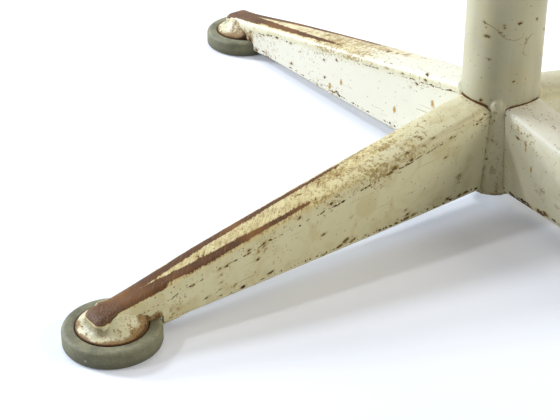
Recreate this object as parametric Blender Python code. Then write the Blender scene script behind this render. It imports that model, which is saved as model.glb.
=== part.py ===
"""Industrial swivel desk chair: pressed-steel cross base on rubber-ringed feet, telescopic column with a
locking lever, plywood seat on a pressed spider, and a tilting plywood backrest on a flat spring bar.

Units are metres, +Z is up and the sitter faces -Y. The origin is on the floor, on the column's axis.
"""

import math

import bmesh
import bpy
from mathutils import Matrix, Vector

# Fits
CLEARANCE = 0.0003  # gap between two pieces that touch, slide or turn on each other

# Feet
FOOT_CIRCLE_RADIUS = 0.263  # column axis to foot centre
RING_DIAMETER = 0.0525
RING_BORE = 0.0385
RING_HEIGHT = 0.010
RING_FLOOR = 0.003  # rubber under the cup
RING_EDGE = 0.0016  # rounding of the rubber's edges
CUP_HEIGHT = 0.0168  # crown above the floor
CUP_CROWN_DIAMETER = 0.016
CUP_RIM = 0.0008  # straight rim that shows above the rubber
CUP_SHEET = 0.002

# Legs, pressed from sheet into a channel that is open below
LEG_NAMES = ("front", "right", "rear", "left")
LEG_HUB_HEIGHT = 0.0672  # top of the leg at the column
LEG_TOE_HEIGHT = 0.0218  # top of the leg over the foot centre
LEG_HUB_GROUND = 0.0118  # lower edge above the floor at the column
LEG_TOE_GROUND = 0.0045  # lower edge above the floor at the foot centre
LEG_HUB_WIDTH = 0.0264
LEG_TOE_WIDTH = 0.0182
LEG_SIDE_BOW = 0.0014  # outward bow of each side at mid-length
LEG_OVERHANG = 0.0125  # nose beyond the foot centre
LEG_NOSE_RADIUS = 0.007
LEG_BEND_RADIUS = 0.0045
LEG_SHEET = 0.002
LEG_DRAFT = math.radians(3.0)  # the sides lean in towards the floor

# Column and the welds between the legs
COLUMN_DIAMETER = 0.045
COLUMN_WALL = 0.0025
COLUMN_BOTTOM = 0.0105
COLUMN_TOP = 0.285
WELD_TOP_RADIUS = 0.0026
WELD_BOTTOM_RADIUS = 0.0052
WELD_NUB_RADIUS = 0.0038
WELD_NUB_RISE = 0.0068  # top of the nub above the legs
WELD_INSET = 0.0004  # weld axis inside the column's face
WELD_FOOT = 0.0008  # lower end of the weld above the column's
PLUG_THICKNESS = 0.006
PLUG_INSET = 0.004  # plug above the column's lower end

# Guide bush and locking collar at the column's top
BUSH_LENGTH = 0.060
BUSH_FLANGE = 0.003
COLLAR_DIAMETER = 0.059
COLLAR_HEIGHT = 0.030
COLLAR_DROP = 0.004  # collar below the column's top
BOSS_DIAMETER = 0.022
BOSS_REACH = 0.046  # column axis to the boss's face

# Locking lever
LOCK_SCREW_DIAMETER = 0.010
LEVER_HUB_DIAMETER = 0.020
LEVER_HUB_LENGTH = 0.014
LEVER_LENGTH = 0.072  # screw axis to ball centre
LEVER_ROOT_DIAMETER = 0.011
LEVER_TIP_DIAMETER = 0.008
LEVER_ANGLE = math.radians(28)  # from straight down towards the front
BALL_DIAMETER = 0.026
BALL_SOCKET_DEPTH = 0.011

# Sliding post, its lower guide and the swivel spindle
POST_DIAMETER = 0.035
POST_WALL = 0.003
POST_LENGTH = 0.260
POST_PLUG_LENGTH = 0.022  # how far a plug goes into the post
POST_FOOT_HEIGHT = 0.008
SPINDLE_DIAMETER = 0.020
SPINDLE_FLANGE = 0.004
SPINDLE_THREAD_DIAMETER = 0.016
THRUST_WASHER = 0.003
THRUST_WASHER_DIAMETER = 0.038

# Hub under the seat
HUB_DIAMETER = 0.038
HUB_LENGTH = 0.060
HUB_FLANGE_DIAMETER = 0.062
HUB_FLANGE = 0.004
HUB_BUSH_WALL = 0.002
HUB_POCKET_DIAMETER = 0.030
HUB_POCKET_DEPTH = 0.016
NUT_FLATS = 0.022
NUT_HEIGHT = 0.008
RETAINING_WASHER = 0.002

# Spider that carries the seat
SPIDER_BOLT_SPACING = 0.200
SPIDER_ROOT_WIDTH = 0.060
SPIDER_TIP_WIDTH = 0.030
SPIDER_DEPTH = 0.016
SPIDER_SHEET = 0.0025
SPIDER_BEND_RADIUS = 0.004
SPIDER_FILLET = 0.016
SPIDER_DRAFT = math.radians(4.0)

# Plywood seat
SEAT_HEIGHT = 0.470
SEAT_WIDTH = 0.400
SEAT_FRONT = 0.205  # column axis to the front edge
SEAT_REAR = 0.185  # column axis to the rear edge
SEAT_THICKNESS = 0.012
SEAT_CORNER = 0.085
SEAT_EDGE = 0.003  # rounding of the plywood's edges
SEAT_FLAT_MARGIN = 0.019  # flat left round the spider's arms
SEAT_SIDE_LIFT = 0.010
SEAT_FRONT_DROP = 0.028
SEAT_REAR_LIFT = 0.006
BOLT_DIAMETER = 0.006
BOLT_HEAD_DIAMETER = 0.017
BOLT_HEAD_HEIGHT = 0.003
BOLT_HEAD_RECESS = 0.0016
BOLT_NUT_FLATS = 0.010
BOLT_NUT_HEIGHT = 0.005
BOLT_TAIL = 0.003  # thread below the nut

# Flat spring bar of the backrest and its guide under the seat
BAR_WIDTH = 0.030
BAR_THICKNESS = 0.005
BAR_START = 0.066  # column axis to the bar's front end
BAR_RUN_END = 0.172  # column axis to the start of the bend
BAR_BEND_RADIUS = 0.040
BAR_LEAN = math.radians(6.0)  # of the upright, backwards
BAR_UPRIGHT = 0.272
BAR_END_RADIUS = 0.012
GUIDE_START = 0.072
GUIDE_LENGTH = 0.078
GUIDE_SHEET = 0.0025
GUIDE_FLANGE = 0.016
GUIDE_BOSS_DIAMETER = 0.018
GUIDE_BOSS_LENGTH = 0.008
GUIDE_SCREW_MARGIN = 0.013  # screw to the guide's end
GUIDE_SCREW_DIAMETER = 0.004
GUIDE_SCREW_HEAD_DIAMETER = 0.008
GUIDE_SCREW_HEAD = 0.0024
GUIDE_SCREW_BITE = 0.008  # screw into the plywood

# Star knobs
KNOB_DIAMETER = 0.038
KNOB_HEIGHT = 0.016
KNOB_LOBES = 6
KNOB_LOBE_DEPTH = 0.0045
KNOB_EDGE = 0.002
KNOB_SCREW_DIAMETER = 0.008
KNOB_SOCKET_DEPTH = 0.010
KNOB_STAND_OFF = 0.004  # bare screw between the knob and what it clamps
KNOB_WASHER_DIAMETER = 0.024
KNOB_WASHER = 0.002

# Slider that carries the backrest on the bar
PIVOT_ALONG_BAR = 0.205  # from the end of the bend
PIVOT_OFFSET = 0.018  # bar's front face to the pivot
SLIDER_HEIGHT = 0.048
SLIDER_PLATE = 0.005
SLIDER_CHEEK = 0.004
EAR_THICKNESS = 0.0046
EAR_RADIUS = 0.007
EAR_SPAN = 0.0326  # over the outsides of the two ears
PIN_DIAMETER = 0.006
PIN_HEAD_DIAMETER = 0.009
PIN_HEAD = 0.0016
BACK_TRAVEL = 0.080  # of the slider along the bar

# Plywood backrest and its hinge leaf
BACK_WIDTH = 0.360
BACK_HEIGHT = 0.170
BACK_THICKNESS = 0.010
BACK_CORNER = 0.060
BACK_EDGE = 0.003
BACK_WRAP_RADIUS = 0.420  # round the sitter's back
BACK_CROWN_RADIUS = 0.900  # up and down
LEAF_WIDTH = 0.100
LEAF_HEIGHT = 0.054
LEAF_CORNER = 0.012
LEAF_THICKNESS = 0.003
LEAF_OFFSET = 0.0105  # pivot to the leaf's back
BARREL_DIAMETER = 0.012
RIVET_SPACING_X = 0.072
RIVET_SPACING_Z = 0.034
RIVET_DIAMETER = 0.005
RIVET_HEAD_DIAMETER = 0.012
RIVET_HEAD = 0.0024
RIVET_HEAD_RECESS = 0.0014

# Facets
COLUMN_STEPS = 32
ROUND_STEPS = 20
SMALL_STEPS = 10
ARC_STEPS = 4
CUT_MARGIN = 0.01  # how far a cutting tool runs past the piece

# Places that follow from the sizes above
COLUMN_RADIUS = COLUMN_DIAMETER / 2
COLUMN_BORE_RADIUS = COLUMN_RADIUS - COLUMN_WALL
POST_RADIUS = POST_DIAMETER / 2
POST_BORE_RADIUS = POST_RADIUS - POST_WALL
CUP_RADIUS = RING_BORE / 2 - CLEARANCE
SPIDER_TOP = SEAT_HEIGHT - SEAT_THICKNESS - CLEARANCE
HUB_TOP = SPIDER_TOP - SPIDER_SHEET - CLEARANCE
HUB_BOTTOM = HUB_TOP - HUB_LENGTH
WASHER_BOTTOM = HUB_BOTTOM - CLEARANCE - THRUST_WASHER
POST_TOP = WASHER_BOTTOM - 2 * CLEARANCE - SPINDLE_FLANGE
POST_BOTTOM = POST_TOP - POST_LENGTH
LOCK_HEIGHT = COLUMN_TOP - COLLAR_DROP - COLLAR_HEIGHT / 2
SEAT_FLAT_HALF = SPIDER_BOLT_SPACING / 2 + SPIDER_TIP_WIDTH / 2 + SEAT_FLAT_MARGIN
SEAT_FLAT_REAR = max(SEAT_FLAT_HALF, GUIDE_START + GUIDE_LENGTH)
BAR_TOP = SPIDER_TOP
BAR_BOTTOM = BAR_TOP - BAR_THICKNESS
GUIDE_INNER_HALF = BAR_WIDTH / 2 + CLEARANCE
GUIDE_INNER_BOTTOM = BAR_BOTTOM - CLEARANCE
GUIDE_BOTTOM = GUIDE_INNER_BOTTOM - GUIDE_SHEET
GUIDE_MIDDLE = GUIDE_START + GUIDE_LENGTH / 2
BEND_ANGLE = math.pi / 2 - BAR_LEAN
BEND_CENTRE = Vector((0, BAR_RUN_END, BAR_TOP - BAR_THICKNESS / 2 + BAR_BEND_RADIUS))
UP_THE_BAR = Vector((0, math.sin(BAR_LEAN), math.cos(BAR_LEAN)))
BEHIND_THE_BAR = Vector((0, math.cos(BAR_LEAN), -math.sin(BAR_LEAN)))
BEND_END = BEND_CENTRE + BEHIND_THE_BAR * BAR_BEND_RADIUS
PIVOT = BEND_END + UP_THE_BAR * PIVOT_ALONG_BAR - BEHIND_THE_BAR * (PIVOT_OFFSET + BAR_THICKNESS / 2)
BACK_ROTATION = (-BAR_LEAN, 0, 0)
BOARD_BACK = -(LEAF_OFFSET + LEAF_THICKNESS + CLEARANCE)  # behind it is the leaf, in front the sitter


def clear_scene():
    for obj in list(bpy.data.objects):
        bpy.data.objects.remove(obj, do_unlink=True)


def make_material(name, colour, roughness, metallic=0.0):
    material = bpy.data.materials.new(name)
    material.use_nodes = True
    shader = material.node_tree.nodes["Principled BSDF"]
    shader.inputs["Base Color"].default_value = (*colour, 1.0)
    shader.inputs["Roughness"].default_value = roughness
    shader.inputs["Metallic"].default_value = metallic
    return material


def add_frame(name, location=(0, 0, 0), rotation=(0, 0, 0), parent=None):
    """An empty on a joint's axis, which carries the pieces that move with it."""
    frame = bpy.data.objects.new(name, None)
    bpy.context.scene.collection.objects.link(frame)
    frame.location = location
    frame.rotation_euler = rotation
    frame.parent = parent
    return frame


def add_piece(name, mesh, material, parent, location=(0, 0, 0), rotation=(0, 0, 0)):
    piece = bpy.data.objects.new(name, mesh)
    bpy.context.scene.collection.objects.link(piece)
    piece.location = location
    piece.rotation_euler = rotation
    piece.parent = parent
    mesh.name = name
    mesh.materials.clear()
    mesh.materials.append(material)
    mesh.shade_smooth()
    mesh.set_sharp_from_angle(angle=math.radians(35))
    return piece


# Shapes


def to_mesh(shape):
    bmesh.ops.recalc_face_normals(shape, faces=shape.faces)
    mesh = bpy.data.meshes.new("shape")
    shape.to_mesh(mesh)
    shape.free()
    return mesh


def turned(profile, steps=ROUND_STEPS):
    """A solid turned about Z from a closed profile of (radius, height) points."""
    shape = bmesh.new()
    points = [shape.verts.new((radius, 0, height)) for radius, height in profile]
    pairs = zip(points, points[1:] + points[:1])
    edges = [shape.edges.new(pair) for pair in pairs if pair[0].co.x > 0 or pair[1].co.x > 0]
    axis = (0, 0, 1)
    bmesh.ops.spin(shape, geom=points + edges, cent=(0, 0, 0), axis=axis, angle=math.tau, steps=steps, use_merge=True)
    bmesh.ops.remove_doubles(shape, verts=shape.verts, dist=1e-7)
    return to_mesh(shape)


def rod(radius, start, end, steps=SMALL_STEPS):
    return turned([(0, start), (radius, start), (radius, end), (0, end)], steps)


def sleeve(outer, inner, start, end, steps=ROUND_STEPS):
    return turned([(inner, start), (outer, start), (outer, end), (inner, end)], steps)


def along_x(mesh, place=(0, 0, 0)):
    """Turns a mesh made about Z to lie along +X."""
    mesh.transform(Matrix.Translation(place) @ Matrix.Rotation(math.pi / 2, 4, "Y"))
    return mesh


def along_y(mesh, place=(0, 0, 0)):
    """Turns a mesh made about Z to lie along +Y."""
    mesh.transform(Matrix.Translation(place) @ Matrix.Rotation(-math.pi / 2, 4, "X"))
    return mesh


def moved(mesh, place):
    mesh.transform(Matrix.Translation(place))
    return mesh


def rounded(corners, steps=ARC_STEPS):
    """A closed outline from (x, y, radius) corners, each corner replaced by an arc of its radius."""
    outline = []
    for before, corner, after in zip(corners[-1:] + corners[:-1], corners, corners[1:] + corners[:1]):
        here = Vector(corner[:2])
        back = Vector(before[:2]) - here
        on = Vector(after[:2]) - here
        half = back.angle(on) / 2
        limit = min(back.length, on.length) * 0.49
        reach = min(corner[2] / math.tan(half), limit)
        if reach < 1e-6:
            outline.append(here)
            continue
        start = here + back.normalized() * reach
        middle = here + (back.normalized() + on.normalized()).normalized() * (reach / math.cos(half))
        spoke = start - middle
        sweep = math.pi - 2 * half
        side = 1 if back.cross(on) < 0 else -1
        for step in range(steps + 1):
            turn = Matrix.Rotation(side * sweep * step / steps, 2)
            outline.append(middle + turn @ spoke)
    return outline


def rectangle(width, low, high, radius):
    """A rounded rectangle centred on X, from low to high in Y."""
    half = width / 2
    return rounded([(-half, low, radius), (half, low, radius), (half, high, radius), (-half, high, radius)])


def with_stations(outline, step):
    """The outline with its long sides divided, so that it can follow a curve."""
    stations = []
    for here, after in zip(outline, outline[1:] + outline[:1]):
        pieces = max(1, round((after - here).length / step))
        stations += [here.lerp(after, share / pieces) for share in range(pieces)]
    return stations


def inset(outline, distance_at):
    """The outline moved inwards by a distance that may differ from point to point."""
    moved_in = []
    for before, here, after in zip(outline[-1:] + outline[:-1], outline, outline[1:] + outline[:1]):
        first = (here - before).normalized()
        second = (after - here).normalized()
        along = (first + second).normalized()
        inward = Vector((-along.y, along.x))
        stretch = max(along.dot(second), 0.5)
        moved_in.append(here + inward * (distance_at(here) / stretch))
    return moved_in


def prism(outline, bottom, top, edge=0.0, edge_steps=2):
    """A plan outline extruded from bottom to top, with its two rims rounded by edge."""
    shape = bmesh.new()
    face = shape.faces.new([shape.verts.new((point.x, point.y, bottom)) for point in outline])
    raised = bmesh.ops.extrude_face_region(shape, geom=[face])["geom"]
    bmesh.ops.translate(shape, verts=[item for item in raised if isinstance(item, bmesh.types.BMVert)], vec=(0, 0, top - bottom))
    if edge > 0:
        rims = [e for e in shape.edges if abs(e.verts[0].co.z - e.verts[1].co.z) < 1e-7]
        bmesh.ops.bevel(shape, geom=rims, offset=edge, segments=edge_steps, profile=0.5, affect="EDGES")
    return to_mesh(shape)


def pressed(outline, top_at, bottom_at, sheet, bend, draft, bend_steps=3):
    """Sheet pressed over a plan outline: a top that follows top_at and sides down to bottom_at, open below."""
    loops = []
    for step in range(bend_steps + 1):
        turn = math.pi / 2 * step / bend_steps
        ring = inset(outline, lambda p: bend * (1 - math.sin(turn)))
        loops.append([(p, top_at(p) - bend * (1 - math.cos(turn))) for p in ring])
    low = inset(outline, lambda p: math.tan(draft) * (top_at(p) - bottom_at(p)))
    loops.append([(p, bottom_at(p)) for p in low])
    shape = bmesh.new()
    rows = [[shape.verts.new((p.x, p.y, z)) for p, z in loop] for loop in loops]
    shape.faces.new(rows[0])
    for upper, lower in zip(rows, rows[1:]):
        for i in range(len(outline)):
            j = (i + 1) % len(outline)
            shape.faces.new((upper[i], lower[i], lower[j], upper[j]))
    return shelled(to_mesh(shape), sheet)


def evaluated(obj):
    """The mesh of an object with its modifiers applied. The object itself is removed."""
    bpy.context.view_layer.update()
    graph = bpy.context.evaluated_depsgraph_get()
    mesh = bpy.data.meshes.new_from_object(obj.evaluated_get(graph))
    bpy.data.objects.remove(obj, do_unlink=True)
    return mesh


def shelled(mesh, sheet):
    """Gives an open surface its sheet thickness, inwards."""
    obj = bpy.data.objects.new("surface", mesh)
    bpy.context.scene.collection.objects.link(obj)
    solidify = obj.modifiers.new("sheet", "SOLIDIFY")
    solidify.thickness = sheet
    solidify.offset = -1
    solidify.use_even_offset = True
    return evaluated(obj)


def combined(mesh, tools, operation):
    for tool_mesh in tools:
        obj = bpy.data.objects.new("body", mesh)
        tool = bpy.data.objects.new("tool", tool_mesh)
        for item in (obj, tool):
            bpy.context.scene.collection.objects.link(item)
        boolean = obj.modifiers.new("tool", "BOOLEAN")
        boolean.operation = operation
        boolean.object = tool
        mesh = evaluated(obj)
        bpy.data.objects.remove(tool, do_unlink=True)
    return mesh


def cut(mesh, *tools):
    return combined(mesh, tools, "DIFFERENCE")


def joined(mesh, *tools):
    return combined(mesh, tools, "UNION")


def bent_board(outline, shares, low_at, high_at, edge):
    """A sheet over a plan outline, between two height functions, with its rims rounded by edge.

    Its faces are divided by copies of the outline, shrunk to the shares of its size that are given.
    """
    centre = sum(outline, Vector((0, 0))) / len(outline)
    narrow = inset(outline, lambda p: edge)

    def ring_points(share):
        return [centre + (p - centre) * share for p in narrow]

    loops = [[(p, high_at(p)) for p in ring_points(share)] for share in reversed(shares)]
    loops.append([(p, high_at(p) - edge) for p in outline])
    loops.append([(p, low_at(p) + edge) for p in outline])
    loops += [[(p, low_at(p)) for p in ring_points(share)] for share in shares]
    shape = bmesh.new()
    rows = [[shape.verts.new((p.x, p.y, z)) for p, z in loop] for loop in loops]
    for upper, lower in zip(rows, rows[1:]):
        for i in range(len(outline)):
            j = (i + 1) % len(outline)
            shape.faces.new((upper[i], lower[i], lower[j], upper[j]))
    for row, height in ((rows[0], high_at(centre)), (rows[-1], low_at(centre))):
        middle = shape.verts.new((centre.x, centre.y, height))
        for i in range(len(outline)):
            shape.faces.new((row[i], row[(i + 1) % len(outline)], middle))
    return to_mesh(shape)


def dome_profile(radius, base, height, steps=4):
    """Points of a low round head from its rim at base up to its crown on the axis."""
    turns = [math.pi / 2 * step / steps for step in range(steps)]
    return [(radius * math.cos(t), base + height * math.sin(t)) for t in turns] + [(0, base + height)]


def hexagon(flats):
    corner = flats / math.sqrt(3)
    return [Vector((corner * math.cos(math.radians(60 * i)), corner * math.sin(math.radians(60 * i)))) for i in range(6)]


# Feet and legs


def foot_ring():
    radius = RING_DIAMETER / 2
    bore = RING_BORE / 2
    arc = [math.pi / 2 * step / 2 for step in range(3)]
    lower = [(radius - RING_EDGE + RING_EDGE * math.sin(t), RING_EDGE - RING_EDGE * math.cos(t)) for t in arc]
    upper = [(radius - RING_EDGE + RING_EDGE * math.cos(t), RING_HEIGHT - RING_EDGE + RING_EDGE * math.sin(t)) for t in arc]
    return turned([(0, 0), *lower, *upper, (bore, RING_HEIGHT), (bore, RING_FLOOR), (0, RING_FLOOR)])


def cup_outside(grow=0.0, steps=3):
    """The cup's outer profile from its lower edge to its crown, moved out by grow."""
    rim = RING_HEIGHT + CUP_RIM
    crown = CUP_CROWN_DIAMETER / 2
    points = [(CUP_RADIUS + grow, RING_FLOOR + CLEARANCE - grow)]
    for step in range(steps + 1):
        t = math.pi / 2 * step / steps
        points.append((crown + (CUP_RADIUS - crown) * math.cos(t) + grow, rim + (CUP_HEIGHT - rim) * math.sin(t) + grow))
    return points + [(0, CUP_HEIGHT + grow)]


def foot_cup():
    outside = cup_outside()
    inside = [(max(r - CUP_SHEET, 0), z) for r, z in outside[:1]]
    inside += [(max(r - CUP_SHEET, 0), z - CUP_SHEET) for r, z in outside[1:]]
    return turned(outside + inside[::-1])


def leg_half_width(along):
    """Half the leg's width at a distance from the column's axis."""
    share = (along - COLUMN_RADIUS) / (FOOT_CIRCLE_RADIUS - COLUMN_RADIUS)
    straight = LEG_HUB_WIDTH + (LEG_TOE_WIDTH - LEG_HUB_WIDTH) * share
    return straight / 2 + LEG_SIDE_BOW * 4 * max(share, 0) * max(1 - share, 0)


def leg_line(hub, toe):
    """A height that runs straight from the column's face to the foot centre."""
    slope = (toe - hub) / (FOOT_CIRCLE_RADIUS - COLUMN_RADIUS)
    return lambda p: hub + slope * (p.x - COLUMN_RADIUS)


def leg():
    """The leg that lies along +X, trimmed to the column, the rubber ring and the cup."""
    inner = COLUMN_RADIUS * 0.2
    tip = FOOT_CIRCLE_RADIUS + LEG_OVERHANG
    stations = [inner + (tip - inner) * share for share in (0, 0.2, 0.4, 0.6, 0.8)]
    right = [(s, -leg_half_width(s), 0) for s in stations] + [(tip, -leg_half_width(tip), LEG_NOSE_RADIUS)]
    left = [(x, -y, radius) for x, y, radius in right[::-1]]
    top_at = leg_line(LEG_HUB_HEIGHT, LEG_TOE_HEIGHT)
    bottom_at = leg_line(LEG_HUB_GROUND, LEG_TOE_GROUND)
    shell = pressed(rounded(right + left), top_at, bottom_at, LEG_SHEET, LEG_BEND_RADIUS, LEG_DRAFT)
    column = rod(COLUMN_RADIUS + CLEARANCE, -CUT_MARGIN, LEG_HUB_HEIGHT + CUT_MARGIN, COLUMN_STEPS)
    foot = (FOOT_CIRCLE_RADIUS, 0, 0)
    ring = moved(rod(RING_DIAMETER / 2 + CLEARANCE, -CUT_MARGIN, RING_HEIGHT + CLEARANCE, ROUND_STEPS), foot)
    cup = moved(turned([(0, 0), (CUP_RADIUS + CLEARANCE, 0), *cup_outside(CLEARANCE)[1:]]), foot)
    return cut(shell, column, ring, cup)


def add_feet_and_legs(frame, paint, rubber):
    leg_mesh, ring_mesh, cup_mesh = leg(), foot_ring(), foot_cup()
    for number, name in enumerate(LEG_NAMES):
        turn = math.pi / 2 * (number - 1)
        foot = (FOOT_CIRCLE_RADIUS * math.cos(turn), FOOT_CIRCLE_RADIUS * math.sin(turn), 0)
        add_piece(f"leg_{name}", leg_mesh, paint, frame, rotation=(0, 0, turn))
        add_piece(f"foot_cup_{name}", cup_mesh, paint, frame, foot, (0, 0, turn))
        add_piece(f"foot_ring_{name}", ring_mesh, rubber, frame, foot, (0, 0, turn))


# Column, lock and post


def lock_hole(reach):
    """The radial hole for the locking screw, from the axis out to reach."""
    return along_x(rod(LOCK_SCREW_DIAMETER / 2 + CLEARANCE, 0, reach), (0, 0, LOCK_HEIGHT))


def weld():
    """The bead in the corner between two legs, with the blob that it ends in."""
    neck = LEG_HUB_HEIGHT + WELD_NUB_RISE - 2 * WELD_NUB_RADIUS
    nub = neck + WELD_NUB_RADIUS
    turns = [math.pi / 4 * step for step in range(-1, 2)]
    blob = [(WELD_NUB_RADIUS * math.cos(t), nub + WELD_NUB_RADIUS * math.sin(t)) for t in turns]
    low = COLUMN_BOTTOM + WELD_FOOT
    profile = [(0, low), (WELD_BOTTOM_RADIUS, low), (WELD_TOP_RADIUS, neck - WELD_TOP_RADIUS)]
    return turned(profile + blob + [(0, nub + WELD_NUB_RADIUS)], SMALL_STEPS)


def column_tube():
    beads = []
    for number in range(len(LEG_NAMES)):
        bead = moved(weld(), (COLUMN_RADIUS - WELD_INSET, 0, 0))
        bead.transform(Matrix.Rotation(math.pi / 2 * (number + 0.5), 4, "Z"))
        beads.append(bead)
    tube = joined(rod(COLUMN_RADIUS, COLUMN_BOTTOM, COLUMN_TOP, COLUMN_STEPS), *beads)
    bore = rod(COLUMN_BORE_RADIUS, COLUMN_BOTTOM - CUT_MARGIN, COLUMN_TOP + CUT_MARGIN, COLUMN_STEPS)
    return cut(tube, bore, lock_hole(COLUMN_DIAMETER))


def column_plug():
    radius = COLUMN_BORE_RADIUS - CLEARANCE
    low = COLUMN_BOTTOM + PLUG_INSET
    bevel = PLUG_THICKNESS / 4
    return turned([(0, low), (radius - bevel, low), (radius, low + bevel), (radius, low + PLUG_THICKNESS), (0, low + PLUG_THICKNESS)])


def column_bush():
    inner = POST_RADIUS + CLEARANCE
    outer = COLUMN_BORE_RADIUS - CLEARANCE
    seat = COLUMN_TOP + CLEARANCE
    profile = [(inner, COLUMN_TOP - BUSH_LENGTH), (outer, COLUMN_TOP - BUSH_LENGTH), (outer, seat)]
    profile += [(COLUMN_RADIUS, seat), (COLUMN_RADIUS, seat + BUSH_FLANGE), (inner, seat + BUSH_FLANGE)]
    return cut(turned(profile), lock_hole(COLUMN_DIAMETER))


def column_collar():
    inner = COLUMN_RADIUS + CLEARANCE
    outer = COLLAR_DIAMETER / 2
    low = COLUMN_TOP - COLLAR_DROP - COLLAR_HEIGHT
    bevel = COLLAR_HEIGHT / 12
    profile = [(inner, low), (outer - bevel, low), (outer, low + bevel), (outer, low + COLLAR_HEIGHT - bevel)]
    ring = turned(profile + [(outer - bevel, low + COLLAR_HEIGHT), (inner, low + COLLAR_HEIGHT)])
    boss = along_x(rod(BOSS_DIAMETER / 2, (inner + outer) / 2, BOSS_REACH), (0, 0, LOCK_HEIGHT))
    return cut(joined(ring, boss), lock_hole(BOSS_REACH + CUT_MARGIN))


def lock_lever():
    """Screw, hub and tapered arm, about the screw's axis along local X. The arm points down."""
    hub_start = BOSS_REACH + CLEARANCE
    hub_end = hub_start + LEVER_HUB_LENGTH
    tip = POST_RADIUS + CLEARANCE
    screw = LOCK_SCREW_DIAMETER / 2
    hub = LEVER_HUB_DIAMETER / 2
    edge = LEVER_HUB_LENGTH / 8
    profile = [(0, tip), (screw, tip), (screw, hub_start), (hub - edge, hub_start), (hub, hub_start + edge)]
    body = along_x(turned(profile + [(hub, hub_end - edge), (hub - edge, hub_end), (0, hub_end)], SMALL_STEPS))
    end = LEVER_LENGTH - BALL_DIAMETER / 2 + BALL_SOCKET_DEPTH
    arm = turned([(0, -end), (LEVER_TIP_DIAMETER / 2, -end), (LEVER_ROOT_DIAMETER / 2, 0), (0, 0)], SMALL_STEPS)
    return joined(body, moved(arm, (lever_plane(), 0, 0)))


def lever_plane():
    return BOSS_REACH + CLEARANCE + LEVER_HUB_LENGTH / 2


def lever_ball():
    radius = BALL_DIAMETER / 2
    turns = [math.pi * step / 8 - math.pi / 2 for step in range(1, 8)]
    ball = turned([(0, -radius), *[(radius * math.cos(t), radius * math.sin(t)) for t in turns], (0, radius)], 16)
    depth = BALL_SOCKET_DEPTH + CLEARANCE
    socket = rod(LEVER_TIP_DIAMETER / 2 + 3 * CLEARANCE, radius - depth, radius + CUT_MARGIN)
    return cut(ball, socket)


def add_column(frame, paint, bronze, steel):
    add_piece("column_tube", column_tube(), paint, frame)
    add_piece("column_plug", column_plug(), steel, frame)
    add_piece("column_bush", column_bush(), bronze, frame)
    add_piece("column_collar", column_collar(), paint, frame)


def add_lock(parent, steel, phenolic):
    frame = add_frame("lock_axis", (0, 0, LOCK_HEIGHT), (-LEVER_ANGLE, 0, 0), parent)
    add_piece("lock_lever", lock_lever(), steel, frame)
    add_piece("lever_ball", lever_ball(), phenolic, frame, (lever_plane(), 0, -LEVER_LENGTH))


def post_foot():
    high = POST_BOTTOM - CLEARANCE
    plug = POST_BORE_RADIUS - CLEARANCE
    flange = COLUMN_BORE_RADIUS - CLEARANCE
    low = high - POST_FOOT_HEIGHT
    top = POST_BOTTOM + POST_PLUG_LENGTH
    return turned([(0, low), (flange, low), (flange, high), (plug, high), (plug, top), (0, top)])


def spindle():
    plug = POST_BORE_RADIUS - CLEARANCE
    pin = SPINDLE_DIAMETER / 2
    thread = SPINDLE_THREAD_DIAMETER / 2
    seat = POST_TOP + CLEARANCE
    shoulder = HUB_TOP - HUB_POCKET_DEPTH
    top = shoulder + RETAINING_WASHER + NUT_HEIGHT + 3 * CLEARANCE
    profile = [(0, POST_TOP - POST_PLUG_LENGTH), (plug, POST_TOP - POST_PLUG_LENGTH), (plug, seat), (POST_RADIUS, seat)]
    profile += [(POST_RADIUS, seat + SPINDLE_FLANGE), (pin, seat + SPINDLE_FLANGE), (pin, shoulder), (thread, shoulder)]
    return turned(profile + [(thread, top), (0, top)])


def spindle_nut():
    bottom = HUB_TOP - HUB_POCKET_DEPTH + RETAINING_WASHER + 2 * CLEARANCE
    blank = prism(hexagon(NUT_FLATS), bottom, bottom + NUT_HEIGHT)
    bore = rod(SPINDLE_THREAD_DIAMETER / 2 + CLEARANCE, bottom - CUT_MARGIN, bottom + NUT_HEIGHT + CUT_MARGIN, ROUND_STEPS)
    return cut(blank, bore)


def add_post(frame, steel, bronze):
    floor = HUB_TOP - HUB_POCKET_DEPTH + CLEARANCE
    thread = SPINDLE_THREAD_DIAMETER / 2 + CLEARANCE
    washer_bore = SPINDLE_DIAMETER / 2 + CLEARANCE
    washer = THRUST_WASHER_DIAMETER / 2
    retainer = HUB_POCKET_DIAMETER / 2 - 2 * CLEARANCE
    add_piece("post_tube", sleeve(POST_RADIUS, POST_BORE_RADIUS, POST_BOTTOM, POST_TOP), steel, frame)
    add_piece("post_foot", post_foot(), bronze, frame)
    add_piece("spindle", spindle(), steel, frame)
    add_piece("thrust_washer", sleeve(washer, washer_bore, WASHER_BOTTOM, WASHER_BOTTOM + THRUST_WASHER), bronze, frame)
    add_piece("spindle_washer", sleeve(retainer, thread, floor, floor + RETAINING_WASHER, 16), steel, frame)
    add_piece("spindle_nut", spindle_nut(), steel, frame)


# Hub, spider and seat


def bolt_places():
    half = SPIDER_BOLT_SPACING / 2
    return [Vector((x, y)) for x, y in ((-half, -half), (half, -half), (half, half), (-half, half))]


def seat_hub():
    outer = HUB_DIAMETER / 2
    bore = SPINDLE_DIAMETER / 2 + CLEARANCE + HUB_BUSH_WALL + CLEARANCE
    pocket = HUB_POCKET_DIAMETER / 2
    floor = HUB_TOP - HUB_POCKET_DEPTH
    flange = HUB_FLANGE_DIAMETER / 2
    profile = [(bore, HUB_BOTTOM), (outer, HUB_BOTTOM), (outer, HUB_TOP - 2 * HUB_FLANGE)]
    profile += [(outer + HUB_FLANGE, HUB_TOP - HUB_FLANGE), (flange, HUB_TOP - HUB_FLANGE), (flange, HUB_TOP)]
    return turned(profile + [(pocket, HUB_TOP), (pocket, floor), (bore, floor)])


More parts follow.
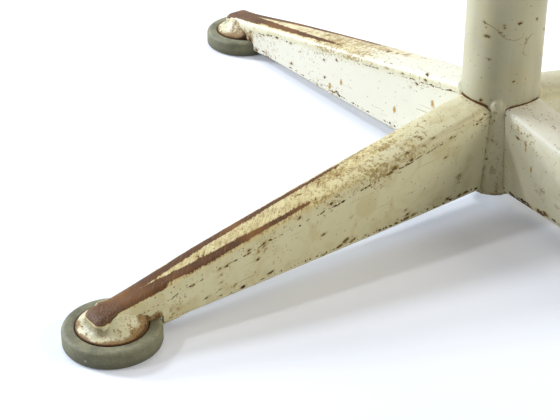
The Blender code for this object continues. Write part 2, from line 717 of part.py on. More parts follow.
def seat_spider():
    """Four tapered arms pressed from one sheet, open below."""
    reach = bolt_places()[2].length
    root, tip = SPIDER_ROOT_WIDTH / 2, SPIDER_TIP_WIDTH / 2
    taper = (root - tip) / reach
    corner = root / (1 + taper)
    corners = []
    for number in range(4):
        turn = Matrix.Rotation(math.pi / 4 + math.pi / 2 * number, 2)
        arm = [(corner, -corner, SPIDER_FILLET), (reach + tip, -tip, tip), (reach + tip, tip, tip)]
        for x, y, radius in arm:
            corners.append((*(turn @ Vector((x, y))), radius))
    low = SPIDER_TOP - SPIDER_DEPTH
    shell = pressed(rounded(corners, 2), lambda p: SPIDER_TOP, lambda p: low, SPIDER_SHEET, SPIDER_BEND_RADIUS, SPIDER_DRAFT, 2)
    span = (low - CUT_MARGIN, SPIDER_TOP + CUT_MARGIN)
    bolts = [moved(rod(BOLT_DIAMETER / 2 + CLEARANCE, *span), (*place, 0)) for place in bolt_places()]
    return cut(shell, rod(HUB_POCKET_DIAMETER / 2, *span, ROUND_STEPS), *bolts)


def seat_top(p):
    """Height of the seat's upper face: flat over the spider, dished to the sides, rolled down at the front."""
    side = max(abs(p.x) - SEAT_FLAT_HALF, 0) / (SEAT_WIDTH / 2 - SEAT_FLAT_HALF)
    front = max(-p.y - SEAT_FLAT_HALF, 0) / (SEAT_FRONT - SEAT_FLAT_HALF)
    rear = max(p.y - SEAT_FLAT_REAR, 0) / (SEAT_REAR - SEAT_FLAT_REAR)
    lift = SEAT_SIDE_LIFT * side**2 * (1 - min(front, 1) ** 2)
    return SEAT_HEIGHT + lift - SEAT_FRONT_DROP * front**2 + SEAT_REAR_LIFT * rear**2


def guide_screw_places():
    across = GUIDE_INNER_HALF + GUIDE_SHEET + GUIDE_FLANGE / 2
    ends = (GUIDE_START + GUIDE_SCREW_MARGIN, GUIDE_START + GUIDE_LENGTH - GUIDE_SCREW_MARGIN)
    return [Vector((side * across, y)) for y in ends for side in (-1, 1)]


def seat_board():
    outline = rectangle(SEAT_WIDTH, -SEAT_FRONT, SEAT_REAR, SEAT_CORNER)
    middle = (SEAT_REAR - SEAT_FRONT) / 2
    flat = (SEAT_FLAT_HALF + middle) / (SEAT_FRONT + middle)
    shares = [1, flat + (1 - flat) * 0.67, flat + (1 - flat) * 0.33, flat]
    board = bent_board(with_stations(outline, SEAT_WIDTH / 10), shares, lambda p: seat_top(p) - SEAT_THICKNESS, seat_top, SEAT_EDGE)
    under = SEAT_HEIGHT - SEAT_THICKNESS
    tools = []
    for place in bolt_places():
        shank, head = BOLT_DIAMETER / 2 + CLEARANCE, BOLT_HEAD_DIAMETER / 2 + CLEARANCE
        floor = SEAT_HEIGHT - BOLT_HEAD_RECESS
        high, low = SEAT_HEIGHT + CUT_MARGIN, under - CUT_MARGIN
        hole = turned([(0, low), (shank, low), (shank, floor), (head, floor), (head, high), (0, high)], SMALL_STEPS)
        tools.append(moved(hole, (*place, 0)))
    for place in guide_screw_places():
        depth = under + GUIDE_SCREW_BITE + CLEARANCE
        tools.append(moved(rod(GUIDE_SCREW_DIAMETER / 2 + CLEARANCE, under - CUT_MARGIN, depth), (*place, 0)))
    return cut(board, *tools)


def seat_bolt():
    """Round-headed bolt about its own axis, from the top of the seat down through the spider."""
    shank = BOLT_DIAMETER / 2
    base = SEAT_HEIGHT - BOLT_HEAD_RECESS + CLEARANCE
    low = SPIDER_TOP - SPIDER_SHEET - BOLT_NUT_HEIGHT - BOLT_TAIL
    profile = [(0, low), (shank, low), (shank, base), *dome_profile(BOLT_HEAD_DIAMETER / 2, base, BOLT_HEAD_HEIGHT, 2)]
    return turned(profile, SMALL_STEPS)


def bolt_nut():
    top = SPIDER_TOP - SPIDER_SHEET - CLEARANCE
    blank = prism(hexagon(BOLT_NUT_FLATS), top - BOLT_NUT_HEIGHT, top)
    return cut(blank, rod(BOLT_DIAMETER / 2 + CLEARANCE, top - 2 * BOLT_NUT_HEIGHT, top + CUT_MARGIN))


def back_guide():
    """Hat-shaped channel under the seat that the spring bar slides in, with a threaded boss below."""
    inner, outer = GUIDE_INNER_HALF, GUIDE_INNER_HALF + GUIDE_SHEET
    flange = outer + GUIDE_FLANGE
    top, under = SPIDER_TOP, SPIDER_TOP - GUIDE_SHEET
    half = [(inner, GUIDE_INNER_BOTTOM), (inner, top), (flange, top), (flange, under), (outer, under), (outer, GUIDE_BOTTOM)]
    section = half + [(-x, z) for x, z in half[::-1]]
    channel = prism([Vector((x, -z)) for x, z in section][::-1], 0, GUIDE_LENGTH)
    channel = moved(along_y(channel), (0, GUIDE_START, 0))
    boss = rod(GUIDE_BOSS_DIAMETER / 2, GUIDE_BOTTOM - GUIDE_BOSS_LENGTH, GUIDE_BOTTOM + GUIDE_SHEET / 2, 16)
    channel = joined(channel, moved(boss, (0, GUIDE_MIDDLE, 0)))
    low = GUIDE_BOTTOM - GUIDE_BOSS_LENGTH - CUT_MARGIN
    thread = moved(rod(KNOB_SCREW_DIAMETER / 2 + CLEARANCE, low, BAR_TOP), (0, GUIDE_MIDDLE, 0))
    radius = GUIDE_SCREW_DIAMETER / 2 + CLEARANCE
    screws = [moved(rod(radius, low, top + CUT_MARGIN), (*place, 0)) for place in guide_screw_places()]
    return cut(channel, thread, *screws)


def guide_screw():
    shank = GUIDE_SCREW_DIAMETER / 2
    head = GUIDE_SCREW_HEAD_DIAMETER / 2
    under = SPIDER_TOP - GUIDE_SHEET - CLEARANCE
    tip = SEAT_HEIGHT - SEAT_THICKNESS + GUIDE_SCREW_BITE
    crown = [(r, under - (z - under)) for r, z in dome_profile(head, under, GUIDE_SCREW_HEAD, 2)]
    return turned([*crown[::-1], (shank, under), (shank, tip), (0, tip)], SMALL_STEPS)


def add_seat(frame, paint, plywood, steel, bronze):
    bush_inner = SPINDLE_DIAMETER / 2 + CLEARANCE
    bush_top = HUB_TOP - HUB_POCKET_DEPTH
    add_piece("seat_hub", seat_hub(), paint, frame)
    add_piece("hub_bush", sleeve(bush_inner + HUB_BUSH_WALL, bush_inner, HUB_BOTTOM, bush_top), bronze, frame)
    add_piece("seat_spider", seat_spider(), paint, frame)
    add_piece("seat_board", seat_board(), plywood, frame)
    bolt, nut, screw = seat_bolt(), bolt_nut(), guide_screw()
    for number, place in enumerate(bolt_places(), 1):
        add_piece(f"seat_bolt_{number}", bolt, steel, frame, (*place, 0))
        add_piece(f"seat_nut_{number}", nut, steel, frame, (*place, 0))
    add_piece("back_guide", back_guide(), paint, frame)
    for number, place in enumerate(guide_screw_places(), 1):
        add_piece(f"guide_screw_{number}", screw, steel, frame, (*place, 0))


# Knobs


def star_knob():
    """Lobed knob about local Z, its socket for the screw in the face at z = 0."""
    outline = []
    for step in range(KNOB_LOBES * 6):
        turn = math.tau * step / (KNOB_LOBES * 6)
        radius = KNOB_DIAMETER / 2 - KNOB_LOBE_DEPTH * (1 - math.cos(KNOB_LOBES * turn)) / 2
        outline.append(Vector((radius * math.cos(turn), radius * math.sin(turn))))
    blank = prism(outline, -KNOB_HEIGHT, 0, KNOB_EDGE, 1)
    return cut(blank, rod(KNOB_SCREW_DIAMETER / 2 + CLEARANCE, -KNOB_SOCKET_DEPTH, CUT_MARGIN))


def knob_screw(reach):
    """The knob's screw, from inside its socket out to reach."""
    return rod(KNOB_SCREW_DIAMETER / 2, CLEARANCE - KNOB_SOCKET_DEPTH, reach)


def add_depth_knob(parent, phenolic, steel):
    top = GUIDE_BOTTOM - GUIDE_BOSS_LENGTH - KNOB_STAND_OFF
    frame = add_frame("depth_knob_axis", (0, GUIDE_MIDDLE, top), parent=parent)
    add_piece("depth_knob", star_knob(), phenolic, frame)
    add_piece("depth_screw", knob_screw(BAR_BOTTOM - CLEARANCE - top), steel, frame)


# Spring bar, slider and backrest


def back_bar():
    """Flat bar swept from under the seat, round the bend and up, with a slot for the height screw."""
    line = [(Vector((0, BAR_START, BEND_CENTRE.z - BAR_BEND_RADIUS)), Vector((0, 0, -1)))]
    steps = 10
    for step in range(steps + 1):
        turn = BEND_ANGLE * step / steps
        out = Vector((0, math.sin(turn), -math.cos(turn)))
        line.append((BEND_CENTRE + out * BAR_BEND_RADIUS, out))
    line.append((BEND_END + UP_THE_BAR * BAR_UPRIGHT, BEHIND_THE_BAR))
    half, side = BAR_THICKNESS / 2, BAR_WIDTH / 2
    shape = bmesh.new()
    rows = []
    for place, out in line:
        corners = ((side, half), (side, -half), (-side, -half), (-side, half))
        rows.append([shape.verts.new(place + out * o + Vector((x, 0, 0))) for x, o in corners])
    for low, high in zip(rows, rows[1:]):
        for i in range(4):
            shape.faces.new((low[i], low[(i + 1) % 4], high[(i + 1) % 4], high[i]))
    shape.faces.new(rows[0])
    shape.faces.new(rows[-1])
    ends = [e for e in shape.edges if abs(e.verts[0].co.x - e.verts[1].co.x) < 1e-7 and (set(e.verts) <= set(rows[0]) or set(e.verts) <= set(rows[-1]))]
    bmesh.ops.bevel(shape, geom=ends, offset=BAR_END_RADIUS, segments=4, profile=0.5, affect="EDGES")
    width = KNOB_SCREW_DIAMETER + 2 * CLEARANCE
    length = BACK_TRAVEL + width
    slot = prism(rectangle(width, -length / 2, length / 2, width / 2 - 1e-5), -BAR_THICKNESS, BAR_THICKNESS)
    slot.transform(Matrix.Rotation(math.pi / 2, 4, "X"))
    slot.transform(Matrix.Translation(BEND_END + UP_THE_BAR * PIVOT_ALONG_BAR) @ Matrix.Rotation(-BAR_LEAN, 4, "X"))
    return cut(to_mesh(shape), slot)


def back_slider():
    """Channel that rides on the bar, with two ears for the hinge pin. Local origin on the pivot."""
    face = PIVOT_OFFSET - CLEARANCE
    inner = BAR_WIDTH / 2 + CLEARANCE
    outer = inner + SLIDER_CHEEK
    rear = PIVOT_OFFSET + BAR_THICKNESS
    section = [(-outer, face - SLIDER_PLATE), (outer, face - SLIDER_PLATE), (outer, rear), (inner, rear)]
    section += [(inner, face), (-inner, face), (-inner, rear), (-outer, rear)]
    half = SLIDER_HEIGHT / 2
    channel = prism([Vector(point) for point in section], -half, half)
    ears = []
    for side in (-1, 1):
        root = face - SLIDER_PLATE / 2
        outline = rounded([(-EAR_RADIUS, -EAR_RADIUS, EAR_RADIUS), (root, -2 * EAR_RADIUS, 0), (root, 2 * EAR_RADIUS, 0), (-EAR_RADIUS, EAR_RADIUS, EAR_RADIUS)])
        plate = prism(outline, 0, EAR_THICKNESS)
        plate.transform(Matrix(((0, 0, 1, 0), (1, 0, 0, 0), (0, 1, 0, 0), (0, 0, 0, 1))))
        start = EAR_SPAN / 2 - EAR_THICKNESS if side > 0 else -EAR_SPAN / 2
        ears.append(moved(plate, (start, 0, 0)))
    body = joined(channel, *ears)
    pin = along_x(rod(PIN_DIAMETER / 2 + CLEARANCE, -EAR_SPAN, EAR_SPAN))
    screw = along_y(rod(KNOB_SCREW_DIAMETER / 2 + CLEARANCE, BARREL_DIAMETER / 2, PIVOT_OFFSET + CUT_MARGIN))
    return cut(body, pin, screw)


def hinge_pin():
    radius, head = PIN_DIAMETER / 2, PIN_HEAD_DIAMETER / 2
    end = EAR_SPAN / 2 + CLEARANCE
    profile = [(0, -end - PIN_HEAD), (radius, -end - PIN_HEAD), (radius, end), (head, end), (head, end + PIN_HEAD), (0, end + PIN_HEAD)]
    return along_x(turned(profile, SMALL_STEPS))


def back_face(p):
    """How far the backrest's rear face stands behind its middle at a point (across, up)."""
    wrap = BACK_WRAP_RADIUS - math.sqrt(BACK_WRAP_RADIUS**2 - p.x**2)
    crown = BACK_CROWN_RADIUS - math.sqrt(BACK_CROWN_RADIUS**2 - p.y**2)
    return crown - wrap


def upright_board(outline, shares, front, rear, edge):
    """A bent board that stands up: plan outlines become (across, up), and heights point to the rear."""
    mesh = bent_board(outline, shares, lambda p: front + back_face(p), lambda p: rear + back_face(p), edge)
    mesh.transform(Matrix(((1, 0, 0, 0), (0, 0, 1, 0), (0, 1, 0, 0), (0, 0, 0, 1))))
    mesh.flip_normals()
    return mesh


def rivet_places():
    x, z = RIVET_SPACING_X / 2, RIVET_SPACING_Z / 2
    return [Vector((-x, -z)), Vector((x, -z)), Vector((x, z)), Vector((-x, z))]


def rivet_tail():
    return -LEAF_OFFSET + back_face(rivet_places()[0])


def rivet_seat():
    """Floor of the recess for a rivet's head, in the front of the backrest."""
    return BOARD_BACK - BACK_THICKNESS + back_face(rivet_places()[0]) + RIVET_HEAD_RECESS


def rivet_hole():
    shank, head = RIVET_DIAMETER / 2 + CLEARANCE, RIVET_HEAD_DIAMETER / 2 + CLEARANCE
    front, rear = rivet_seat() - CUT_MARGIN, CUT_MARGIN
    return turned([(0, front), (head, front), (head, rivet_seat()), (shank, rivet_seat()), (shank, rear), (0, rear)], SMALL_STEPS)


def rivet_holes():
    return [along_y(rivet_hole(), (place.x, 0, place.y)) for place in rivet_places()]


def rivet():
    seat = rivet_seat() - CLEARANCE
    shank = RIVET_DIAMETER / 2
    crown = [(r, seat - (y - seat)) for r, y in dome_profile(RIVET_HEAD_DIAMETER / 2, seat, RIVET_HEAD, 2)]
    return along_y(turned([*crown[::-1], (shank, seat), (shank, rivet_tail()), (0, rivet_tail())], SMALL_STEPS))


def back_leaf():
    """Hinge leaf riveted behind the backrest, with the barrel that turns on the pin."""
    outline = rectangle(LEAF_WIDTH, -LEAF_HEIGHT / 2, LEAF_HEIGHT / 2, LEAF_CORNER)
    plate = upright_board(with_stations(outline, LEAF_WIDTH / 4), (1, 0.5), -LEAF_OFFSET - LEAF_THICKNESS, -LEAF_OFFSET, LEAF_THICKNESS / 6)
    radius = BARREL_DIAMETER / 2
    half = EAR_SPAN / 2 - EAR_THICKNESS - 2 * CLEARANCE
    barrel = along_x(rod(radius, -half, half, 16))
    web = prism(rectangle(2 * half, -LEAF_OFFSET - LEAF_THICKNESS / 2, 0, 0), -radius * 0.8, radius * 0.8)
    bore = along_x(rod(PIN_DIAMETER / 2 + CLEARANCE, -EAR_SPAN, EAR_SPAN))
    return cut(joined(plate, web, barrel), bore, *rivet_holes())


def back_board():
    outline = rectangle(BACK_WIDTH, -BACK_HEIGHT / 2, BACK_HEIGHT / 2, BACK_CORNER)
    board = upright_board(with_stations(outline, BACK_WIDTH / 12), (1, 0.7, 0.35), BOARD_BACK - BACK_THICKNESS, BOARD_BACK, BACK_EDGE)
    return cut(board, *rivet_holes())


def add_back(parent, plywood, paint, steel, phenolic):
    add_piece("back_bar", back_bar(), steel, parent)
    slider = add_frame("slider_frame", PIVOT, BACK_ROTATION, parent)
    add_piece("back_slider", back_slider(), paint, slider)
    add_piece("hinge_pin", hinge_pin(), steel, slider)
    rest = add_frame("backrest_pivot", parent=slider)
    add_piece("back_leaf", back_leaf(), paint, rest)
    add_piece("back_board", back_board(), plywood, rest)
    rivet_mesh = rivet()
    for number, place in enumerate(rivet_places(), 1):
        add_piece(f"back_rivet_{number}", rivet_mesh, steel, rest, (place.x, 0, place.y))
    seat = PIVOT_OFFSET + BAR_THICKNESS + CLEARANCE
    knob = add_frame("height_knob_axis", (0, seat + KNOB_WASHER + CLEARANCE, 0), (math.pi / 2, 0, 0), slider)
    bore = KNOB_SCREW_DIAMETER / 2 + CLEARANCE
    washer = sleeve(KNOB_WASHER_DIAMETER / 2, bore, CLEARANCE, CLEARANCE + KNOB_WASHER, 16)
    reach = seat + KNOB_WASHER - PIVOT_OFFSET + SLIDER_PLATE
    add_piece("height_knob", star_knob(), phenolic, knob)
    add_piece("height_screw", knob_screw(reach), steel, knob)
    add_piece("height_washer", washer, steel, knob)


def main():
    clear_scene()
    paint = make_material("cream enamel", (0.70, 0.66, 0.50), 0.40)
    rubber = make_material("grey rubber", (0.25, 0.25, 0.20), 0.80)
    steel = make_material("bright steel", (0.56, 0.55, 0.52), 0.35, 1.0)
    bronze = make_material("bearing bronze", (0.50, 0.34, 0.16), 0.40, 1.0)
    phenolic = make_material("black phenolic", (0.02, 0.018, 0.016), 0.30)
    plywood = make_material("varnished beech plywood", (0.52, 0.30, 0.13), 0.35)
    base = add_frame("base_frame")
    lift = add_frame("post_frame", parent=base)
    seat = add_frame("seat_frame", parent=lift)
    back = add_frame("back_frame", parent=seat)
    add_feet_and_legs(base, paint, rubber)
    add_column(base, paint, bronze, steel)
    add_lock(base, steel, phenolic)
    add_post(lift, steel, bronze)
    add_seat(seat, paint, plywood, steel, bronze)
    add_depth_knob(seat, phenolic, steel)
    add_back(back, plywood, paint, steel, phenolic)


main()
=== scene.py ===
"""Looks of an industrial swivel desk chair: kicked and chipped cream enamel on a pressed-steel cross base,
grey rubber feet, bright steel, moulded black knobs and varnished beech plywood.

Units are metres, +Z is up and the sitter faces -Y. The floor is z = 0 and the column stands on the Z axis.
"""

import math
from functools import partial

import bmesh
import bpy
from mathutils import Matrix, Quaternion, Vector
from mathutils.noise import noise


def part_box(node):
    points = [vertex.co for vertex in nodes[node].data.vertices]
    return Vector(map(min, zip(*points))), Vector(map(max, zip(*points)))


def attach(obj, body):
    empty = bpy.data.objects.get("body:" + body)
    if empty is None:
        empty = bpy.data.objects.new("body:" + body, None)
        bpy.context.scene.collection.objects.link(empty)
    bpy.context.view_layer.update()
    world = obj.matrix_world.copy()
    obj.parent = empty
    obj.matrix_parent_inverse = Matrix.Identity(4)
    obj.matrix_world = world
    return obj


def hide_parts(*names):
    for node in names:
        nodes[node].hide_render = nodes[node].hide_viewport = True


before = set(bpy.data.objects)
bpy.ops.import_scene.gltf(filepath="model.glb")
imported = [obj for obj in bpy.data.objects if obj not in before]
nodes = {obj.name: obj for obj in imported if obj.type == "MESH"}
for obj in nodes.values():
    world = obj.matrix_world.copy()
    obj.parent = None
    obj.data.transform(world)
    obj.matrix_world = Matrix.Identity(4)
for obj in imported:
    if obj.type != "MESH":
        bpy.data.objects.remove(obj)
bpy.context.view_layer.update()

MM = 0.001
CLEARANCE = 0.3 * MM

# Feet
FOOT_CIRCLE_RADIUS = 0.263
RING_RADIUS = 0.02625
RING_BORE_RADIUS = 0.01925
RING_HEIGHT = 0.010
RING_FLOOR = 0.003
RING_EDGE = 0.0027
RING_LOWER_EDGE = 0.0015
RING_BORE_EDGE = 0.0006
CUP_RADIUS = RING_BORE_RADIUS - CLEARANCE
CUP_RIM_HEIGHT = 0.0103
CUP_RISE = 0.0052
CUP_FILLET = 0.0075  # where the dome runs up into the leg's sides
CUP_WELD = 0.0028  # and round its nose

# Legs: heights run straight from the column's face to the foot centre
LEG_TURNS = {"front": -90, "right": 0, "rear": 90, "left": 180}  # degrees from +X
LEG_HUB_HEIGHT = 0.0672
LEG_TOE_HEIGHT = 0.0218
LEG_HUB_GROUND = 0.0118
LEG_TOE_GROUND = 0.0045
LEG_HUB_WIDTH = 0.0264
LEG_TOE_WIDTH = 0.0182
LEG_SIDE_BOW = 0.0014
LEG_TIP = FOOT_CIRCLE_RADIUS + 0.0125
LEG_NOSE_RADIUS = 0.005
LEG_NOSE_START = LEG_TIP - LEG_NOSE_RADIUS
LEG_BEND_RADIUS = 0.0045
LEG_TOE_BEND_RADIUS = 0.0066
LEG_TIGHTER = {"right": 0.5}  # share by which a leg's bend was struck tighter at the hub
LEG_OVERLAP = 0.0006  # how far its lower edge dips into the cup's dome
LEG_CROWN = 20  # curvature across the top, per metre
LEG_SHEET = 0.002
LEG_DRAFT = math.radians(3)
LEG_LIP_RADIUS = 0.0026  # the lower edge is rolled in
LEG_LIP_TURN = math.radians(65)
# From where to where along a leg its bend changes at the hub, the toe and the nose, and its rolled edge runs out
LEG_HUB_BEND = (0.130, 0.060)
LEG_TOE_BEND = (0.205, 0.250)
LEG_NOSE_BEND = (0.258, 0.2715)
LEG_LIP_END = (0.232, 0.222)

# Column and the welds between the legs
COLUMN_RADIUS = 0.0225
COLUMN_BORE_RADIUS = 0.020
COLUMN_BOTTOM = 0.0105
COLUMN_TOP = 0.285
WELD_TOP_HALF = 0.0044
WELD_BOTTOM_HALF = 0.0078
WELD_RISE = 0.0013
NUB_HALF = 0.0040
NUB_RISE = 0.0054
NUB_DEPTH = 0.0019
NUB_HEIGHT = 0.0668

# Seat, back and their steel
SEAT_HEIGHT = 0.470
SEAT_WIDTH = 0.400
SEAT_FRONT = 0.205
SEAT_REAR = 0.185
SEAT_THICKNESS = 0.012
SEAT_CORNER = 0.085
SEAT_FLAT_HALF = 0.134
SEAT_FLAT_REAR = 0.150
SEAT_SIDE_LIFT = 0.010
SEAT_FRONT_DROP = 0.028
SEAT_REAR_LIFT = 0.006
BOARD_EDGE = 0.003
SPIDER_TOP = 0.4577
SPIDER_DEPTH = 0.016
SPIDER_SHEET = 0.0025
SPIDER_REACH = 0.1414  # column axis to a bolt
SPIDER_ROOT = 0.030
SPIDER_TIP = 0.015
SPIDER_BEND_RADIUS = 0.004
SPIDER_DRAFT = math.radians(4)
SPIDER_FILLET = 0.016
PIVOT = Vector((0, 0.21282, 0.69704))
BAR_LEAN = math.radians(6)
BACK_WIDTH = 0.360
BACK_HEIGHT = 0.170
BACK_THICKNESS = 0.010
BACK_CORNER = 0.060
BACK_FRONT = -0.0238  # pivot to the middle of the front face
BACK_WRAP_RADIUS = 0.420
BACK_CROWN_RADIUS = 0.900
KNOB_RADIUS = 0.019
KNOB_HEIGHT = 0.016
KNOB_LOBES = 6
KNOB_LOBE_DEPTH = 0.0045
KNOB_EDGE = 0.0026
KNOB_DISH = ((0.011, 0), (0.010, 0.5 * MM), (0.004, 0.9 * MM), (0, 1 * MM))  # radius and depth
BALL_RADIUS = 0.013
LOCK_HEIGHT = 0.266
LOCK_SCREW = (0.0178, 0.0463, 0.005)  # where it starts and ends along X, and its radius
LEVER_HUB = (0.0463, 0.0603, 0.010)
LEVER_PLANE = 0.0533
LEVER_ANGLE = math.radians(28)
LEVER_END = 0.070
LEVER_ROOT_RADIUS = 0.0055
LEVER_TIP_RADIUS = 0.004
LEVER_STATIONS = (0.050, 0.036, 0.024, 0.016, 0.013, 0.011, 0.0095, 0.008)  # from the hub's axis
LEVER_FLARE = 0.0012
LEVER_FLARE_AT = (0.0145, 0.0085)


# Finishes

# Kinds of shader node, with the mode after the dot
COORDINATES, ATTRIBUTE, SPLIT, AXES = "TexCoord", "Attribute", "SeparateColor", "SeparateXYZ"
NOISE, CELLS, BUMP, MIX = "TexNoise", "TexVoronoi", "Bump", "Mix.RGBA"
RANGE, SOFT_RANGE = "MapRange.LINEAR", "MapRange.SMOOTHSTEP"
SCALED, STRETCHED = "Mapping.POINT", "Mapping.TEXTURE"
ADD, SUBTRACT, MULTIPLY, MULTIPLY_ADD = "Math.ADD", "Math.SUBTRACT", "Math.MULTIPLY", "Math.MULTIPLY_ADD"
MAXIMUM, MINIMUM, ABSOLUTE = "Math.MAXIMUM", "Math.MINIMUM", "Math.ABSOLUTE"
LESS_THAN, COMPARE, PINGPONG = "Math.LESS_THAN", "Math.COMPARE", "Math.PINGPONG"
MODES = {
    "Math": "operation",
    "VectorMath": "operation",
    "MapRange": "interpolation_type",
    "Mapping": "vector_type",
    "Mix": "data_type",
}
MIX_INPUTS, MIX_OUTPUT = (0, 6, 7), 2  # the Mix node's share and colours


def linear(hex_colour):
    """An sRGB hex colour as linear RGBA."""
    shares = [int(hex_colour[i : i + 2], 16) / 255 for i in (1, 3, 5)]
    return (*[s / 12.92 if s <= 0.04045 else ((s + 0.055) / 1.055) ** 2.4 for s in shares], 1)


def per_metre(size_mm):
    """Texture scale for a pattern whose marks are that many millimetres apart."""
    return 1000 / size_mm


def node(tree, kind, inputs=(), output=None, **settings):
    """Adds a node with its settings and returns one output. Inputs come by name or in order: a socket is linked, a
    hex colour made linear, and any other value set."""
    kind, _, mode = kind.partition(".")
    made = tree.nodes.new("ShaderNode" + kind)
    if mode:
        settings[MODES[kind]] = mode
    for name, value in settings.items():
        setattr(made, name, value)
    if not isinstance(inputs, dict):
        inputs = dict(zip(MIX_INPUTS if kind == "Mix" else range(len(inputs)), inputs))
    for key, value in inputs.items():
        if isinstance(value, bpy.types.NodeSocket):
            tree.links.new(value, made.inputs[key])
        else:
            made.inputs[key].default_value = linear(value) if isinstance(value, str) else value
    if output is None:
        output = MIX_OUTPUT if kind == "Mix" else 0
    return made.outputs[output] if made.outputs else None


def new_finish(name):
    """An empty material, and what adds a node to it."""
    material = bpy.data.materials.new(name)
    material.use_nodes = True
    material.node_tree.nodes.clear()
    return material, partial(node, material.node_tree)


def close_finish(add, sockets):
    add("OutputMaterial", {"Surface": add("BsdfPrincipled", sockets)})


ENAMEL_MARKS = ("worn", "chip", "speck", "rust", "age_and_shade")

# Larger chips in the enamel, each twice as long as it is high. On a leg: half height, distance along and distance
# round from the middle of the top, in millimetres. On the column: half height and a point.
KNOCK_STRETCH = (0.5, 1, 1)
LEG_KNOCKS = {
    "front": [
        (1.01, 91.5, 15.2), (0.79, 94.5, 16.4), (0.79, 80.0, 16.0), (0.58, 83.0, 17.2), (0.65, 80.4, 11.1),
        (0.58, 66.0, 6.3), (0.50, 66.5, 8.0), (0.58, 61.9, 11.1), (0.58, 30.2, 15.5), (0.58, 33.0, 17.1),
        (0.50, 51.9, 16.3), (0.86, 48.8, 58.3), (0.79, 35.0, 61.5), (0.72, 39.5, 61.0), (0.72, 78.8, 52.5),
        (0.79, 78.5, 54.8), (0.72, 73.7, 55.1), (1.15, 122.0, 45.2), (0.86, 125.5, 46.4), (0.79, 116.6, 47.5),
        (0.86, 143.1, -1.9), (0.58, 153.9, 12.3), (0.86, 171.8, 36.9), (0.65, 176.8, 15.0), (0.58, 176.5, 17.0),
        (0.65, 185.9, 13.9), (0.65, 186.6, 15.8), (0.72, 137.7, 32.2), (0.58, 220.4, 15.2), (0.58, 199.8, 15.7),
        (0.58, 204.2, 15.0), (0.79, 189.8, 35.8), (0.58, 136.9, 46.0), (0.65, 211.8, 28.8), (0.36, 203.9, 15.6),
        (0.30, 203.8, 19.5), (0.34, 203.5, 24.2), (0.32, 203.7, 28.6), (0.40, 203.4, 32.7), (0.50, 80.3, 48.8),
    ],
    "right": [
        (1.00, 35.0, -64.8), (1.05, 52.5, -60.7), (1.25, 30.2, -65.0), (1.40, 40.0, -64.3), (1.20, 45.0, -63.2),
        (1.15, 57.7, -58.8),
    ],
    "left": [
        (0.79, 191.6, 31.9), (0.50, 89.6, 15.0), (0.58, 74.9, 15.5), (0.58, 217.8, 14.6), (0.58, 208.0, 15.4),
        (0.58, 191.2, 16.4),
    ],
}
COLUMN_KNOCKS = [
    (0.57, 6.0, -21.7, 117.8), (1.07, 8.0, -21.0, 109.8), (0.52, 16.0, -15.8, 117.8), (0.47, 16.0, -15.8, 116.4),
    (0.42, 14.5, -17.2, 113.1), (0.42, 16.0, -15.8, 111.9), (0.52, 22.1, -4.3, 109.2), (0.47, 22.0, -4.7, 107.0),
    (0.85, 22.4, 1.9, 119.5), (0.52, 20.9, -8.3, 119.6), (0.47, 9.8, -20.3, 96.2),
]
# Orange runs of rust water, each twice as high as it is long
RUN_STRETCH = (1, 0.5, 1)
LEG_RUNS = {"left": [(1.25, 136.0, 34.5), (1.25, 148.0, 40.0), (1.25, 82.0, 42.5), (1.25, 47.0, 30.0)]}
# Thin curved scratches on the column, each a stretch of a circle: its centre and radius, then the middle of the
# stretch and how far it reaches
SCRATCHES = [
    ((19.2, -11.8, 118.1), 9.1, (17.4, -13.6, 110.7), 7.6),
    ((3.6, -22.2, 100.1), 17.6, (9.6, -20.0, 116.0), 5.6),
    ((21.4, 7.1, 101.4), 12.9, (22.1, -4.0, 106.4), 6.4),
]


def leg_places(table):
    """Half heights and places of marks on the legs, in the coordinates of the sheet."""
    places = []
    for leg, marks in table.items():
        places += [(half * MM, Vector((along, girth, LEG_TURNS[leg])) * MM) for half, along, girth in marks]
    return places


